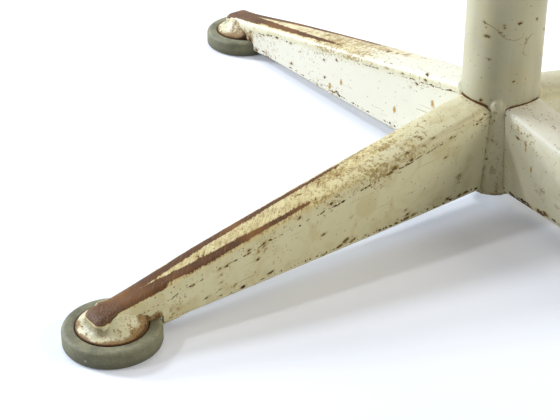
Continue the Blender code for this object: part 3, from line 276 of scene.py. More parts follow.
def stove_enamel():
    """Enamel sprayed over red-oxide primer and baked: a warm half-gloss cream with a slight orange peel. Shoes have
    rubbed its edges through to brown primer, knocks have left dark chips, and rust has crept in where water stood."""
    material, add = new_finish("cream stove enamel, sprayed and baked")
    place = add(COORDINATES, output="Object")
    sheet = add(ATTRIBUTE, output="Vector", attribute_name="sheet")
    marks = [add(ATTRIBUTE, output="Fac", attribute_name=name) for name in ENAMEL_MARKS]
    worn_at, chip_at, speck_at, rust_at, age_and_shade_at = marks
    from_bend = add(AXES, [add(ATTRIBUTE, output="Vector", attribute_name="edges")])
    from_foot, pressed = from_bend.node.outputs["Y"], from_bend.node.outputs["Z"]

    film = add(NOISE, {"Vector": place, "Scale": per_metre(38), "Detail": 3})
    cloud = add(NOISE, {"Vector": place, "Scale": per_metre(6), "Detail": 5, "Roughness": 0.6})
    grit = add(NOISE, {"Vector": place, "Scale": per_metre(1.1), "Detail": 4, "Roughness": 0.65})
    patch = add(NOISE, {"Vector": place, "Scale": per_metre(15), "Detail": 4, "Distortion": 0.8})
    strokes = {"Vector": sheet, "Rotation": (0, 0, math.radians(45)), "Scale": (8 * MM, 0.8 * MM, 0.1)}
    combed = add(NOISE, {"Vector": add(STRETCHED, strokes), "Scale": 1, "Detail": 3})

    # Rubbed through to the primer where the worn mark lifts the break-up over its usual level
    rub = worn_at
    for grain, weight in ((cloud, 1.1), (combed, 1.0), (grit, 0.7)):
        rub = add(MULTIPLY_ADD, (grain, weight, rub))
    bare = add(SOFT_RANGE, (rub, 1.86, 1.96))
    thin = add(SOFT_RANGE, (rub, 1.45, 1.9, 0, 0.7))
    thin = add(MULTIPLY, (thin, add(RANGE, (worn_at, 0.02, 0.25))))

    # Chips about 4 mm apart where they gather, with torn outlines, and specks about 1.5 mm apart
    torn = add(NOISE, {"Vector": place, "Scale": per_metre(2.4), "Detail": 3}, "Color")
    jagged = add("VectorMath.SUBTRACT", (torn, (0.5,) * 3))
    jagged = add("VectorMath.MULTIPLY_ADD", (jagged, (3 * MM,) * 3, sheet))
    longer = add(SCALED, {"Vector": jagged, "Scale": (0.6, 1, 1)})
    flake = add(CELLS, {"Vector": longer, "Scale": per_metre(4)}, "Distance")
    flake_pick = add(SPLIT, [flake.node.outputs["Color"]], "Red")
    flake_size = add(MULTIPLY_ADD, (flake_pick.node.outputs["Green"], 0.24, 0.05))
    picked = add(LESS_THAN, (flake_pick, chip_at))
    chip = add(RANGE, (flake, flake_size, add(SUBTRACT, (flake_size, 0.08))))
    chip = add(MULTIPLY, (chip, picked))
    halo = add(RANGE, (flake, add(ADD, (flake_size, 0.16)), flake_size, 0, 0.55))
    halo = add(MULTIPLY, (halo, picked))
    dot = add(CELLS, {"Vector": jagged, "Scale": per_metre(1.5)}, "Distance")
    dot_pick = add(SPLIT, [dot.node.outputs["Color"]], "Red")
    dot_size = add(MULTIPLY_ADD, (dot_pick.node.outputs["Blue"], 0.34, 0.06))
    speck = add(RANGE, (dot, dot_size, add(SUBTRACT, (dot_size, 0.22)), 0, 0.85))
    speck = add(MULTIPLY, (speck, add(LESS_THAN, (dot_pick, speck_at))))

    # Long scratches that run with the leg, about half a millimetre wide
    drawn = {"Vector": sheet, "Rotation": (0, 0, math.radians(-4)), "Scale": (34 * MM, 0.9 * MM, 0.1)}
    scratch = add(NOISE, {"Vector": add(STRETCHED, drawn), "Scale": 1, "Detail": 2})
    scratch = add(MULTIPLY, (add(RANGE, (scratch, 0.69, 0.74, 0, 0.6)), pressed))
    nearest = None
    for centre, radius, middle, reach in SCRATCHES:
        away = add("VectorMath.DISTANCE", (place, Vector(centre) * MM), "Value")
        away = add(ABSOLUTE, [add(SUBTRACT, (away, radius * MM))])
        beyond = add("VectorMath.DISTANCE", (place, Vector(middle) * MM), "Value")
        away = add(MAXIMUM, (away, add(SUBTRACT, (beyond, reach * MM))))
        nearest = add(MINIMUM, (nearest, away)) if nearest else away
    curved = add(RANGE, (nearest, 0.42 * MM, 0.12 * MM, 0, 0.8))
    curved = add(MULTIPLY, (curved, add(RANGE, (cloud, 0.40, 0.58, 0.15))))
    scratch = add(MAXIMUM, (scratch, curved))

    # Dirt in the pores of the enamel, thickest where it is most specked
    torn_pick = add(SPLIT, [torn], "Red")
    soil = add(MULTIPLY, (speck_at, 0.27))
    soil = add(MULTIPLY_ADD, (torn_pick.node.outputs["Blue"], 0.55, soil))
    soil = add(MULTIPLY_ADD, (grit, 0.45, soil))
    soil = add(SOFT_RANGE, (soil, 0.68, 0.80, 0, 0.75))

    def beyond_edge(stretch, places):
        """How far a point lies from the edge of the nearest of some marks."""
        nearest = None
        drawn_out = add("VectorMath.MULTIPLY", (jagged, stretch))
        for half, middle in places:
            away = add("VectorMath.DISTANCE", (drawn_out, middle * Vector(stretch)), "Value")
            away = add(SUBTRACT, (away, half))
            nearest = add(MINIMUM, (nearest, away)) if nearest else away
        return nearest

    # The larger knocks, each in its own place
    column_places = [(half * MM, Vector(point) * MM) for half, *point in COLUMN_KNOCKS]
    off_knock = beyond_edge(KNOCK_STRETCH, leg_places(LEG_KNOCKS) + column_places)
    knock = add(RANGE, (off_knock, 0.15 * MM, -0.15 * MM))
    knock = add(MULTIPLY, (knock, add(RANGE, (pressed, 0, 1, 0.72))))
    halo = add(MAXIMUM, (halo, add(SOFT_RANGE, (off_knock, 1.2 * MM, 0, 0, 0.4))))

    # Broken lines of chips that follow the pressed edges, just below the bend and a few millimetres above the foot
    lines = []
    for edge, sway, middle, pick, start, width, gaps in (
        (from_bend, 4 * MM, 3.4 * MM, torn_pick, 0.47, 1.0 * MM, (0.44, 0.56)),
        (from_foot, 2.5 * MM, 4.2 * MM, torn_pick.node.outputs["Green"], 0.5, 1.5 * MM, (0.45, 0.58)),
    ):
        reach = add(RANGE, (pick, start, 0.72, 0, width))
        reach = add(MULTIPLY, (reach, add(RANGE, (film, *gaps))))
        lines.append(add(COMPARE, (add(MULTIPLY_ADD, (patch, sway, edge)), middle, reach)))
    chip = add(MAXIMUM, (chip, add(MULTIPLY, (add(MAXIMUM, lines), pressed))))

    # Rust: a stain first, a crust where the mark is strong, and short orange runs down the legs' sides
    creep = add(MULTIPLY_ADD, (cloud, 0.7, rust_at))
    creep = add(MULTIPLY_ADD, (grit, 0.6, creep))
    stain = add(SOFT_RANGE, (creep, 0.90, 1.14, 0, 0.85))
    crust = add(SOFT_RANGE, (creep, 1.28, 1.42))
    drops = add(STRETCHED, {"Vector": sheet, "Scale": (5 * MM, 12 * MM, 0.01)})
    drip = add(CELLS, {"Vector": drops, "Scale": 1}, "Distance")
    drip_pick = add(SPLIT, [drip.node.outputs["Color"]], "Red")
    drip = add(RANGE, (drip, 0.22, 0.10))
    drip = add(MULTIPLY, (drip, add(RANGE, (drip_pick, 0.2, 0.1, 0, 0.85))))
    drip = add(MULTIPLY, (drip, add(RANGE, (from_bend, 1 * MM, 4 * MM))))
    run = add(RANGE, (beyond_edge(RUN_STRETCH, leg_places(LEG_RUNS)), 0.35 * MM, -0.35 * MM, 0, 0.9))
    drip = add(MAXIMUM, (drip, run))

    # Brown primer, pitted and scuffed, and dusty over the toe
    dusty = add(RANGE, (add(AXES, [sheet]), 0.236, 0.266))
    primer = add(MIX, (cloud, "#3d230e", "#68421f"))
    for share, colour in (
        (add(RANGE, (grit, 0.52, 0.68, 0, 0.6)), "#2c190d"),
        (add(RANGE, (film, 0.48, 0.68, 0, 0.5)), "#98662e"),
        (add(RANGE, (combed, 0.52, 0.72, 0, 0.32)), "#a08256"),
        (add(MULTIPLY, (dusty, add(RANGE, (grit, 0.44, 0.60, 0, 0.5)))), "#7f6d60"),
    ):
        primer = add(MIX, (share, primer, colour))

    # Every layer over the clean film, in the order in which it came
    grime = add(SOFT_RANGE, (patch, 0.45, 0.66, 0, 0.6))
    grime = add(MULTIPLY, (grime, add(RANGE, [age_and_shade_at])))
    grime = add(MULTIPLY, (grime, add(RANGE, (pressed, 0, 1, 0.4))))
    # From here the age_and_shade mark yellows, greys and cakes the enamel. Besides real age and dirt it carries painted
    # shade: the column's shadow on the rear leg, the shade under the noses, the darker column and the darker sides of
    # the shaded legs.
    caked_dirt_and_shade = add(RANGE, (age_and_shade_at, 2, 3))
    paint = add(MIX, (film, "#f1f0e4", "#e8e7d8"))
    for share, colour in (
        (age_and_shade_at, add(MIX, (film, "#e3dfbf", "#d3cea6"))),
        (add(RANGE, (age_and_shade_at, 1, 2)), "#c0bda2"),
        (caked_dirt_and_shade, "#7f7b5f"),
        (grime, "#c9bd8d"),
        (add(RANGE, (worn_at, 0, 0.2, 0, 0.7)), "#e8dca4"),
        (soil, "#967830"),
        (halo, "#a58a42"),
        (thin, "#a6894a"),
        (stain, add(MIX, (grit, "#5a390e", "#a0752c"))),
        (drip, "#b5881e"),
        (scratch, "#8d7348"),
        (speck, "#785a2a"),
        (bare, primer),
        (chip, add(MIX, (grit, "#24150c", "#6b4526"))),
        (knock, add(MIX, (add(RANGE, (film, 0.42, 0.62)), "#2b1b0d", "#6b5732"))),
        (crust, add(MIX, (grit, "#2a1a0a", "#6e4719"))),
    ):
        paint = add(MIX, (share, paint, colour))

    chip = add(MAXIMUM, (chip, knock))
    dull = bare
    for mark in (stain, chip, caked_dirt_and_shade):
        dull = add(MAXIMUM, (dull, mark))
    gloss = add(RANGE, (cloud, 0.3, 0.7, 0.3, 0.45))
    roughness = add(MULTIPLY_ADD, (dull, 0.3, gloss))
    peel = add(MULTIPLY, (cloud, 0.25))
    height = add(SUBTRACT, (peel, add(MAXIMUM, (bare, chip))))
    height = add(MULTIPLY_ADD, (grit, 0.18, height))
    bump = add(BUMP, {"Height": height, "Strength": 0.7, "Distance": 0.12 * MM})
    enamel = {"Base Color": paint, "Roughness": roughness, "IOR": 1.52, "Specular IOR Level": 0.3, "Normal": bump}
    close_finish(add, enamel)
    return material


def moulded_rubber():
    """Grey natural rubber out of a steel mould, perished by age: matt, mottled olive-grey, darker where floor dirt
    has worked into the side, with a few pale scuffs."""
    material, add = new_finish("grey rubber, moulded and perished")
    place = add(COORDINATES, output="Object")
    mottle = add(NOISE, {"Vector": place, "Scale": per_metre(9), "Detail": 4, "Roughness": 0.6})
    grain = add(NOISE, {"Vector": place, "Scale": per_metre(0.9), "Detail": 3})
    dirt = add(MULTIPLY_ADD, (mottle, 0.5, add(ATTRIBUTE, output="Fac", attribute_name="dirt")))
    nick = add(CELLS, {"Vector": place, "Scale": per_metre(11)}, "Distance")
    often = add(SPLIT, [nick.node.outputs["Color"]], "Red")
    scuff = add(RANGE, (nick, 0.09, 0.04, 0, 0.7))
    rubber = add(MIX, (add(RANGE, (mottle, 0.36, 0.66)), "#6b6b55", "#959478"))
    for share, colour in (
        (add(RANGE, (grain, 0.48, 0.7, 0, 0.5)), "#59594a"),
        (add(SOFT_RANGE, (dirt, 0.5, 1.2, 0, 0.75)), "#4b4b3c"),
        (add(MULTIPLY, (scuff, add(LESS_THAN, (often, 0.35)))), "#b9b8a6"),
    ):
        rubber = add(MIX, (share, rubber, colour))
    roughness = add(RANGE, (mottle, 0.3, 0.7, 0.6, 0.8))
    height = add(MULTIPLY_ADD, (grain, 0.4, mottle))
    bump = add(BUMP, {"Height": height, "Strength": 0.5, "Distance": 0.3 * MM})
    close_finish(add, {"Base Color": rubber, "Roughness": roughness, "IOR": 1.52, "Normal": bump})
    return material


def bright_metal(name, pale, dark, roughness):
    """Steel or bronze finished in a lathe or mill: bright metal with fine tool lines that run along Z, about 0.6 mm
    apart here so that they show, and dull patches where hands and damp have been."""
    material, add = new_finish(name)
    place = add(COORDINATES, output="Object")
    lines = add(SCALED, {"Vector": place, "Scale": (per_metre(0.6), per_metre(0.6), per_metre(25))})
    lines = add(NOISE, {"Vector": lines, "Scale": 1, "Detail": 3})
    patch = add(NOISE, {"Vector": place, "Scale": per_metre(34), "Detail": 5, "Roughness": 0.6})
    tarnish = add(RANGE, (patch, 0.42, 0.8, 0, 0.45))
    metal = add(MIX, (tarnish, pale, dark))
    shine = add(RANGE, (lines, 0.3, 0.7, roughness - 0.06, roughness + 0.08))
    shine = add(MULTIPLY_ADD, (tarnish, 0.2, shine))
    bump = add(BUMP, {"Height": lines, "Strength": 0.25, "Distance": 0.05 * MM})
    close_finish(add, {"Base Color": metal, "Metallic": 1, "Roughness": shine, "Normal": bump})
    return material


def moulded_phenolic():
    """Black phenolic resin, pressed hot and tumbled: a deep brown-black gloss with a faint swirl of filler and
    hand-dulled high spots."""
    material, add = new_finish("black phenolic, hot-pressed and polished")
    place = add(COORDINATES, output="Object")
    swirl = add(NOISE, {"Vector": place, "Scale": per_metre(9), "Detail": 4, "Distortion": 1.2})
    grain = add(NOISE, {"Vector": place, "Scale": per_metre(0.8), "Detail": 3})
    resin = add(MIX, (swirl, "#15100d", "#2e221b"))
    resin = add(MIX, (add(RANGE, (grain, 0.55, 0.8, 0, 0.25)), resin, "#5a4c40"))
    roughness = add(RANGE, (swirl, 0.35, 0.7, 0.2, 0.42))
    bump = add(BUMP, {"Height": grain, "Strength": 0.2, "Distance": 0.08 * MM})
    close_finish(add, {"Base Color": resin, "Roughness": roughness, "IOR": 1.6, "Normal": bump})
    return material


def beech_plywood():
    """Rotary-cut beech veneers pressed to a curve and varnished: warm tan with long drawn-out figure, short dark
    flecks, light and dark plies along the cut edge, and a varnish gone amber and thin on the edges."""
    material, add = new_finish("beech plywood, pressed and varnished")
    flat = add(ATTRIBUTE, output="Vector", attribute_name="veneer")
    rim = add(ATTRIBUTE, output="Fac", attribute_name="rim")
    depth = add(ATTRIBUTE, output="Fac", attribute_name="through")
    sizes = ((14, 160), (1.1, 40), (1.3, 4.5))  # across the grain and along it, in millimetres
    scales = [(per_metre(across), per_metre(along), 1) for across, along in sizes]
    figure, grain, fleck = (add(SCALED, {"Vector": flat, "Scale": scale}) for scale in scales)
    figure = add(NOISE, {"Vector": figure, "Scale": 1, "Detail": 4, "Distortion": 0.6})
    grain = add(NOISE, {"Vector": grain, "Scale": 1, "Detail": 3})
    fleck = add(RANGE, (add(CELLS, {"Vector": fleck, "Scale": 1}, "Distance"), 0.24, 0.12, 0, 0.55))
    streak = add(RANGE, (grain, 0.4, 0.75, 0, 0.5))
    plies = add(SOFT_RANGE, (add(PINGPONG, (depth, 2 / 9)), 0.09, 0.13))
    edge = add(MIX, (streak, add(MIX, (plies, "#70441f", "#bd8a52")), "#5d3b1e"))
    wood = add(MIX, (add(SOFT_RANGE, (figure, 0.32, 0.68)), "#a9713c", "#c99258"))
    for share, colour in ((streak, "#8c5a2e"), (fleck, "#77451f"), (rim, edge)):
        wood = add(MIX, (share, wood, colour))
    roughness = add(RANGE, (grain, 0.3, 0.7, 0.42, 0.58))
    roughness = add(MULTIPLY_ADD, (rim, 0.18, roughness))
    height = add(MULTIPLY_ADD, (fleck, -0.5, grain))
    bump = add(BUMP, {"Height": height, "Strength": 0.25, "Distance": 0.1 * MM})
    varnish = {"IOR": 1.5, "Coat Weight": 0.12, "Coat Roughness": 0.25}
    close_finish(add, {"Base Color": wood, "Roughness": roughness, "Normal": bump, **varnish})
    return material


ENAMEL = stove_enamel()
RUBBER = moulded_rubber()
DRAWN_STEEL = bright_metal("steel tube, drawn and polished", "#a9a7a1", "#6b6760", 0.24)
ZINC_STEEL = bright_metal("steel fastener, zinc plated", "#a3a196", "#6d6857", 0.36)
SPRING_STEEL = bright_metal("spring steel, rolled and browned", "#7c766d", "#443a31", 0.38)
BRONZE = bright_metal("bearing bronze, turned", "#b9945a", "#7d5c33", 0.32)
PHENOLIC = moulded_phenolic()
PLYWOOD = beech_plywood()


# Shapes


def soft_step(low, high, value):
    """0 at low, 1 at high, with a soft rise between them. Low may be the larger."""
    share = min(max((value - low) / (high - low), 0), 1)
    return share * share * (3 - 2 * share)


def spot(distance, radius):
    return math.exp(-((distance / radius) ** 2))


UPPER_WEAR = {"chip": 0.05, "speck": 0.12, "age_and_shade": 0.75}  # enamel above the base is handled but never kicked


def marked(shape, names):
    """Layers for the marks that a finish reads at each point."""
    return {name: shape.verts.layers.float.new(name) for name in names}


def mark_upper_wear(shape):
    layers = marked(shape, ENAMEL_MARKS)
    for vert in shape.verts:
        for key, value in UPPER_WEAR.items():
            vert[layers[key]] = value


def new_object(name, data):
    made = bpy.data.objects.new(name, data)
    bpy.context.scene.collection.objects.link(made)
    return made


def add_piece(name, shape, finish, body, slot, *replaced, sharp=35):
    """Turns a shape into a piece that rides on a body and stands for the CAD nodes named."""
    bmesh.ops.remove_doubles(shape, verts=shape.verts, dist=2e-6)
    bmesh.ops.dissolve_degenerate(shape, edges=shape.edges, dist=1e-6)
    bmesh.ops.recalc_face_normals(shape, faces=shape.faces)
    if "sheet" not in shape.verts.layers.float_vector:
        sheet = shape.verts.layers.float_vector.new("sheet")
        for vert in shape.verts:
            vert[sheet] = vert.co
    mesh = bpy.data.meshes.new(name)
    shape.to_mesh(mesh)
    shape.free()
    mesh.materials.append(finish)
    mesh.shade_smooth()
    mesh.set_sharp_from_angle(angle=math.radians(sharp))
    piece = new_object(name, mesh)
    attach(piece, body)
    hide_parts(*replaced)
    return piece


def skin(shape, rows, closed=True):
    """Faces between neighbouring rows of points, each row closed into a ring or left open."""
    for upper, lower in zip(rows, rows[1:]):
        for i in range(len(upper) - (0 if closed else 1)):
            j = (i + 1) % len(upper)
            corners = [upper[i], lower[i], lower[j], upper[j]]
            corners = [v for k, v in enumerate(corners) if v not in corners[:k]]
            if len(corners) > 2:
                shape.faces.new(corners)


def thicken(piece, thickness):
    """Gives a pressing its sheet, inwards from its outer face."""
    top = max(piece.data.polygons, key=lambda face: face.center.z)
    if top.normal.z < 0:
        piece.data.flip_normals()
    solid = piece.modifiers.new("sheet", "SOLIDIFY")
    solid.thickness = thickness
    solid.offset = -1


def circle(shape, radius, height, steps, place=Matrix.Identity(4)):
    """A row of points round Z; on the axis it is one point."""
    if radius == 0:
        return [shape.verts.new(place @ Vector((0, 0, height)))] * steps
    turns = [math.tau * step / steps for step in range(steps)]
    return [shape.verts.new(place @ Vector((radius * math.cos(t), radius * math.sin(t), height))) for t in turns]


def turned(shape, profile, steps, place=Matrix.Identity(4), mark=None):
    """Skins a closed body turned about Z from (radius, height) points that start and end on the axis."""
    rows = []
    for radius, height in profile:
        rows.append(circle(shape, radius, height, steps, place))
        if mark:
            for vert in set(rows[-1]):
                mark(vert, radius, height)
    skin(shape, rows)


ROUNDING_TURNS = (30, 60, 90)  # degrees from the face


def rounding(radius, turns):
    """(inset, drop) points of a rounded edge between a face and a side."""
    turns = [math.radians(turn) for turn in turns]
    return [(radius * (1 - math.sin(turn)), radius * (1 - math.cos(turn))) for turn in turns]


def arc(centre, radius, start, end, steps):
    """(radius, height) points of a rounding, between two angles in degrees."""
    turns = [math.radians(start + (end - start) * step / steps) for step in range(steps + 1)]
    return [(centre[0] + radius * math.cos(t), centre[1] + radius * math.sin(t)) for t in turns]


# Cross base


def leg_half_width(along):
    share = (along - COLUMN_RADIUS) / (FOOT_CIRCLE_RADIUS - COLUMN_RADIUS)
    straight = LEG_HUB_WIDTH + (LEG_TOE_WIDTH - LEG_HUB_WIDTH) * share
    return straight / 2 + LEG_SIDE_BOW * 4 * max(share, 0) * max(1 - share, 0)


def leg_line(hub, toe, along):
    return hub + (toe - hub) * (along - COLUMN_RADIUS) / (FOOT_CIRCLE_RADIUS - COLUMN_RADIUS)


def leg_top(along):
    return leg_line(LEG_HUB_HEIGHT, LEG_TOE_HEIGHT, along)


def leg_crest(along, across):
    """Height of the crowned top at a point, and of the bend beside it."""
    flat = leg_half_width(along) - LEG_BEND_RADIUS
    over = min(max(abs(across) - flat, 0) / LEG_BEND_RADIUS, 1)
    crown = LEG_CROWN / 2 * max(flat**2 - across**2, 0)
    return leg_top(along) + crown - LEG_BEND_RADIUS * (1 - math.sqrt(1 - over**2))


def leg_bend(name, along):
    """The bend grows rounder towards the toe and tightens again round the nose."""
    toe = soft_step(*LEG_TOE_BEND, along) * (1 - 0.9 * soft_step(*LEG_NOSE_BEND, along))
    hub = LEG_BEND_RADIUS * (1 - LEG_TIGHTER.get(name, 0) * soft_step(*LEG_HUB_BEND, along))
    return hub + (LEG_TOE_BEND_RADIUS - LEG_BEND_RADIUS) * toe


def dome_height(radius):
    return CUP_RIM_HEIGHT + CUP_RISE * (1 - min(radius / CUP_RADIUS, 1) ** 1.8)


def leg_foot(along, across):
    """Height of the leg's lower edge: on its line, then over the rubber ring, then down on the cup."""
    reach = math.hypot(along - FOOT_CIRCLE_RADIUS, across)
    if reach < CUP_RADIUS:
        return dome_height(reach) - LEG_OVERLAP
    if reach < RING_RADIUS + CLEARANCE:
        return RING_HEIGHT + CLEARANCE
    return leg_line(LEG_HUB_GROUND, LEG_TOE_GROUND, along)


def leg_stations():
    """Plan points round one half of the leg: (along, half width, inward along, inward across)."""
    across = leg_half_width(FOOT_CIRCLE_RADIUS) - 1 * MM
    notch = FOOT_CIRCLE_RADIUS - math.sqrt((RING_RADIUS + CLEARANCE) ** 2 - across**2)
    hub = COLUMN_RADIUS + CLEARANCE
    close_steps, steps, nose_steps = 6, 150, 12
    alongs = [hub + 0.4 * MM * step for step in range(close_steps)]
    alongs += [alongs[-1] + (LEG_NOSE_START - alongs[-1]) * step / steps for step in range(1, steps + 1)]
    alongs += [notch - 0.2 * MM, notch + 0.2 * MM]
    stations = [(s, leg_half_width(s), 0, -1) for s in sorted(alongs)]
    corner = leg_half_width(LEG_NOSE_START) - LEG_NOSE_RADIUS
    for step in range(1, nose_steps + 1):
        turn = math.pi / 2 * step / nose_steps
        ahead, aside = math.sin(turn), math.cos(turn)
        stations.append((LEG_NOSE_START + LEG_NOSE_RADIUS * ahead, corner + LEG_NOSE_RADIUS * aside, -ahead, -aside))
    return stations + [(LEG_TIP, corner * share, -1, 0) for share in (0.5, 0)]


def leg_section(name, station):
    """Half a cross-section, from the middle of the top down to the rolled edge: (along, across, height, girth)."""
    along, width, inward_along, inward_across = station

    def inwards(inset):
        return along + inward_along * inset, max(width + inward_across * inset, 0)

    bend = leg_bend(name, along)
    lean = math.atan(LEG_CROWN * (leg_half_width(min(along, LEG_NOSE_START)) - bend))
    edge = inwards(bend * (1 - math.sin(lean)))
    points = []
    for share in (0, 0.15, 0.3, 0.45, 0.6, 0.75, 0.88):
        crown = LEG_CROWN / 2 * edge[1] ** 2 * (1 - share**2)
        points.append((edge[0], edge[1] * share, leg_top(edge[0]) + crown))
    bend_steps, side_steps, lip_steps = 8, 14, 5
    for step in range(bend_steps + 1):
        turn = lean + (math.pi / 2 - lean) * step / bend_steps
        place = inwards(bend * (1 - math.sin(turn)))
        points.append((*place, leg_top(place[0]) - bend * (math.cos(lean) - math.cos(turn))))
    start = points[-1][2]
    ground = leg_foot(along, width - 1.5 * MM)
    lip = LEG_LIP_RADIUS * soft_step(*LEG_LIP_END, along)
    low = min(ground + lip * math.sin(LEG_LIP_TURN), start - 0.2 * MM)
    lean = math.tan(LEG_DRAFT)
    for step in range(1, side_steps + 1):
        height = start + (low - start) * step / side_steps
        points.append((*inwards(lean * (start - height)), height))
    for step in range(1, lip_steps + 1):
        turn = LEG_LIP_TURN * step / lip_steps
        inset = lean * (start - low) + lip * (1 - math.cos(turn))
        points.append((*inwards(inset), low - lip * math.sin(turn)))
    section, girth = [], 0
    for number, point in enumerate(points):
        if number:
            girth += math.dist(point, points[number - 1])
        section.append((*point, girth))
    return section


# How far from the column each leg is rubbed to primer on its left and right edge, how rusty its seam is, how far its
# enamel has yellowed on the sides and on the top, and where dirt begins to gather on its top. The yellowing is partly
# painted light and shade: the brightly lit left leg is given the palest enamel, and the shaded sides of the front and
# right legs a yellower, darker one.
LEG_WEAR = {
    "front": (0.130, 0.100, 1.0, 0.85, 0.97, 0.045),
    "right": (0.150, 0.142, 1.0, 0.50, 0.20, 0.060),
    "rear": (0.146, 0.155, 0.8, 0.40, 0.52, 0.060),
    "left": (0.136, 0.108, 1.0, 0.05, 0.17, 0.082),
}
# From where to where along a leg its wear changes
STRIP_HALF = 0.0056  # enamel left between the two rubbed bands
STRIP_CLOSES = (0.266, 0.232)
BAND_WIDEST = 0.226
TOE_BARE = (0.222, 0.240)
TOE_SPECKED = (0.19, 0.24)
NOSE_RUBBED = (0.262, 0.269)
NOTCH_RUST = 0.2415  # where the lower edge meets the rubber ring
NOTCH_HOLLOW = (0.240, 0.247)
HUB_BLOT, HUB_BLOOM = 0.048, 0.087
# Where along the rear leg's top the column's shadow is painted on as a grubby grey tone
HUB_PAINTED_SHADOW = (0.14, 0.05)


def rubbed(bend, along, across, girth, depth, ends):
    """How far a shoe has rubbed through the enamel: two bands on the top's edges that meet over the toe."""
    flat = max(leg_half_width(min(along, LEG_NOSE_START)) - bend, 0)
    end = ends[0] if across > 0 else ends[1]
    strip = STRIP_HALF * soft_step(*STRIP_CLOSES, along)
    toe = soft_step(*TOE_BARE, along) * soft_step(strip - 2.2 * MM, strip, girth)
    strip_wear = 0.26 * soft_step(end - 60 * MM, end + 20 * MM, along)
    width = 0.5 * MM + 2.0 * MM * soft_step(end - 10 * MM, BAND_WIDEST, along)
    band = soft_step(width + 1.6 * MM, width - 0.9 * MM, abs(girth - flat + 0.5 * MM))
    band *= soft_step(end - 14 * MM, end + 26 * MM, along)
    brink = bend * (0.22 + 0.35 * soft_step(*NOSE_RUBBED, along))
    return max(toe, band, strip_wear) * soft_step(brink + 0.6 * MM, brink - 0.3 * MM, depth)


def leg_marks(name, along, across, girth, depth, lift, gap):
    """Wear at a point of a leg. Depth is below the top, lift above the lower edge, gap from the column."""
    left_end, right_end, seam, age_and_shade, top_age_and_shade, dirt = LEG_WEAR[name]
    side = 1 if across > 0 else -1
    bend = leg_bend(name, along)
    wall = soft_step(bend * 0.8, bend * 1.6, depth)
    crowd = soft_step(dirt, dirt + 0.035, along) * soft_step(dirt + 0.115, dirt + 0.075, along)
    group = soft_step(-0.25, 0.45, noise((along * 55, girth * 90, age_and_shade * 7 + side)))
    lower, upper = soft_step(13 * MM, 3 * MM, lift), soft_step(20 * MM, 7 * MM, depth)
    chip = wall * (0.05 + 0.30 * lower + 0.22 * upper) + (1 - wall) * (0.10 + 0.5 * crowd)
    chip = 0.02 + (0.4 if name == "right" else 1) * group * chip
    speck = wall * (0.25 * soft_step(*TOE_SPECKED, along) + group * (0.15 + 0.40 * upper + 0.30 * lower))
    speck += 0.10 + (1 - wall) * (0.30 + (0.25 + 0.35 * group) * crowd)
    foot = math.hypot(along - NOTCH_RUST, (lift - 1 * MM) * 0.8)
    hollow = soft_step(*NOTCH_HOLLOW, along) * wall * soft_step(6 * MM, 1 * MM, lift)
    blot = spot(math.hypot(along - HUB_BLOT + 6 * MM * side, lift - 16 * MM), 9 * MM)
    bloom = spot(math.hypot(along - HUB_BLOOM, across + 1.7 * MM), 6 * MM)
    crack = 1 - (1 - 0.55 * age_and_shade) * soft_step(1 * MM, 3 * MM, depth)
    seep = 0.30 * soft_step(7 * MM, 0.5 * MM, gap) * (1 - wall)
    rust = seam * crack * max(soft_step(0.8 * MM, 0.2 * MM, gap), seep)
    rust = max(rust, 0.9 * spot(foot, 3.2 * MM), 0.5 * hollow, 0.30 * blot * wall, 0.42 * bloom * (1 - wall))
    rust = max(rust, 0.30 * wall * soft_step(3.2 * MM, 0, lift))
    # On the left leg's bend the enamel is yellowed: partly soil, partly painted shade that tones down the bend where
    # the lamps fall brightest.
    ridge = soft_step(0, bend * 0.5, depth) * soft_step(bend * 1.8, bend, depth) if name == "left" else 0
    # The front of the nose is caked olive: partly dirt, partly painted shade under the nose.
    front_wall = soft_step(LEG_TIP - 4 * MM, LEG_TIP - 1 * MM, along) * soft_step(1.5 * MM, 2.5 * MM, depth)
    worn = rubbed(bend, along, across, girth, depth, (left_end, right_end))
    # Painted shadow of the column on the rear leg's top near the hub
    painted_column_shadow = 1.65 * (1 - wall) * soft_step(*HUB_PAINTED_SHADOW, along) if name == "rear" else 0
    age_and_shade = max(min(top_age_and_shade + (age_and_shade - top_age_and_shade) * wall + 0.5 * ridge, 1), 2.8 * front_wall, painted_column_shadow)
    return {"worn": worn, "chip": chip, "speck": speck, "rust": rust, "age_and_shade": age_and_shade}


def add_leg(name, turn):
    """Channel pressed from sheet, open below, its hub end shaped to the column."""
    shape = bmesh.new()
    layers = marked(shape, ENAMEL_MARKS)
    sheet = shape.verts.layers.float_vector.new("sheet")
    edges = shape.verts.layers.float_vector.new("edges")
    spin = Matrix.Rotation(math.radians(turn), 3, "Z")
    reach = COLUMN_RADIUS + CLEARANCE
    for side in (1, -1):
        rows = []
        for station in leg_stations():
            row = []
            section = leg_section(name, station)
            share = max(0, 1 - (station[0] - reach) / (LEG_NOSE_START - reach))
            for along, across, height, girth in section:
                face = math.sqrt(max(reach**2 - across**2, 0))
                shift = (face - reach) * share
                vert = shape.verts.new(spin @ Vector((along + shift, side * across, height)))
                depth, lift = leg_top(along) - height, height - section[-1][2]
                marks = leg_marks(name, along, side * across, girth, depth, lift, along + shift - face)
                for key, value in marks.items():
                    vert[layers[key]] = value
                vert[sheet] = Vector((along, side * girth, turn * MM))
                vert[edges] = Vector((depth - leg_bend(name, along), lift, 1))
                row.append(vert)
            rows.append(row)
        skin(shape, rows if side > 0 else rows[::-1], closed=False)
    piece = add_piece(f"leg_{name}_pressing", shape, ENAMEL, "base", "cream_enamel", f"leg_{name}", sharp=50)
    thicken(piece, LEG_SHEET)


def nose_distance(along, across):
    """Plan distance from the leg's outline near the foot, below zero inside it."""
    half = leg_half_width(LEG_NOSE_START)
    x = along - (LEG_NOSE_START - FOOT_CIRCLE_RADIUS)
    y = abs(across) - (half - LEG_NOSE_RADIUS)
    return math.hypot(max(x, 0), max(y, 0)) + min(max(x, y), 0) - LEG_NOSE_RADIUS


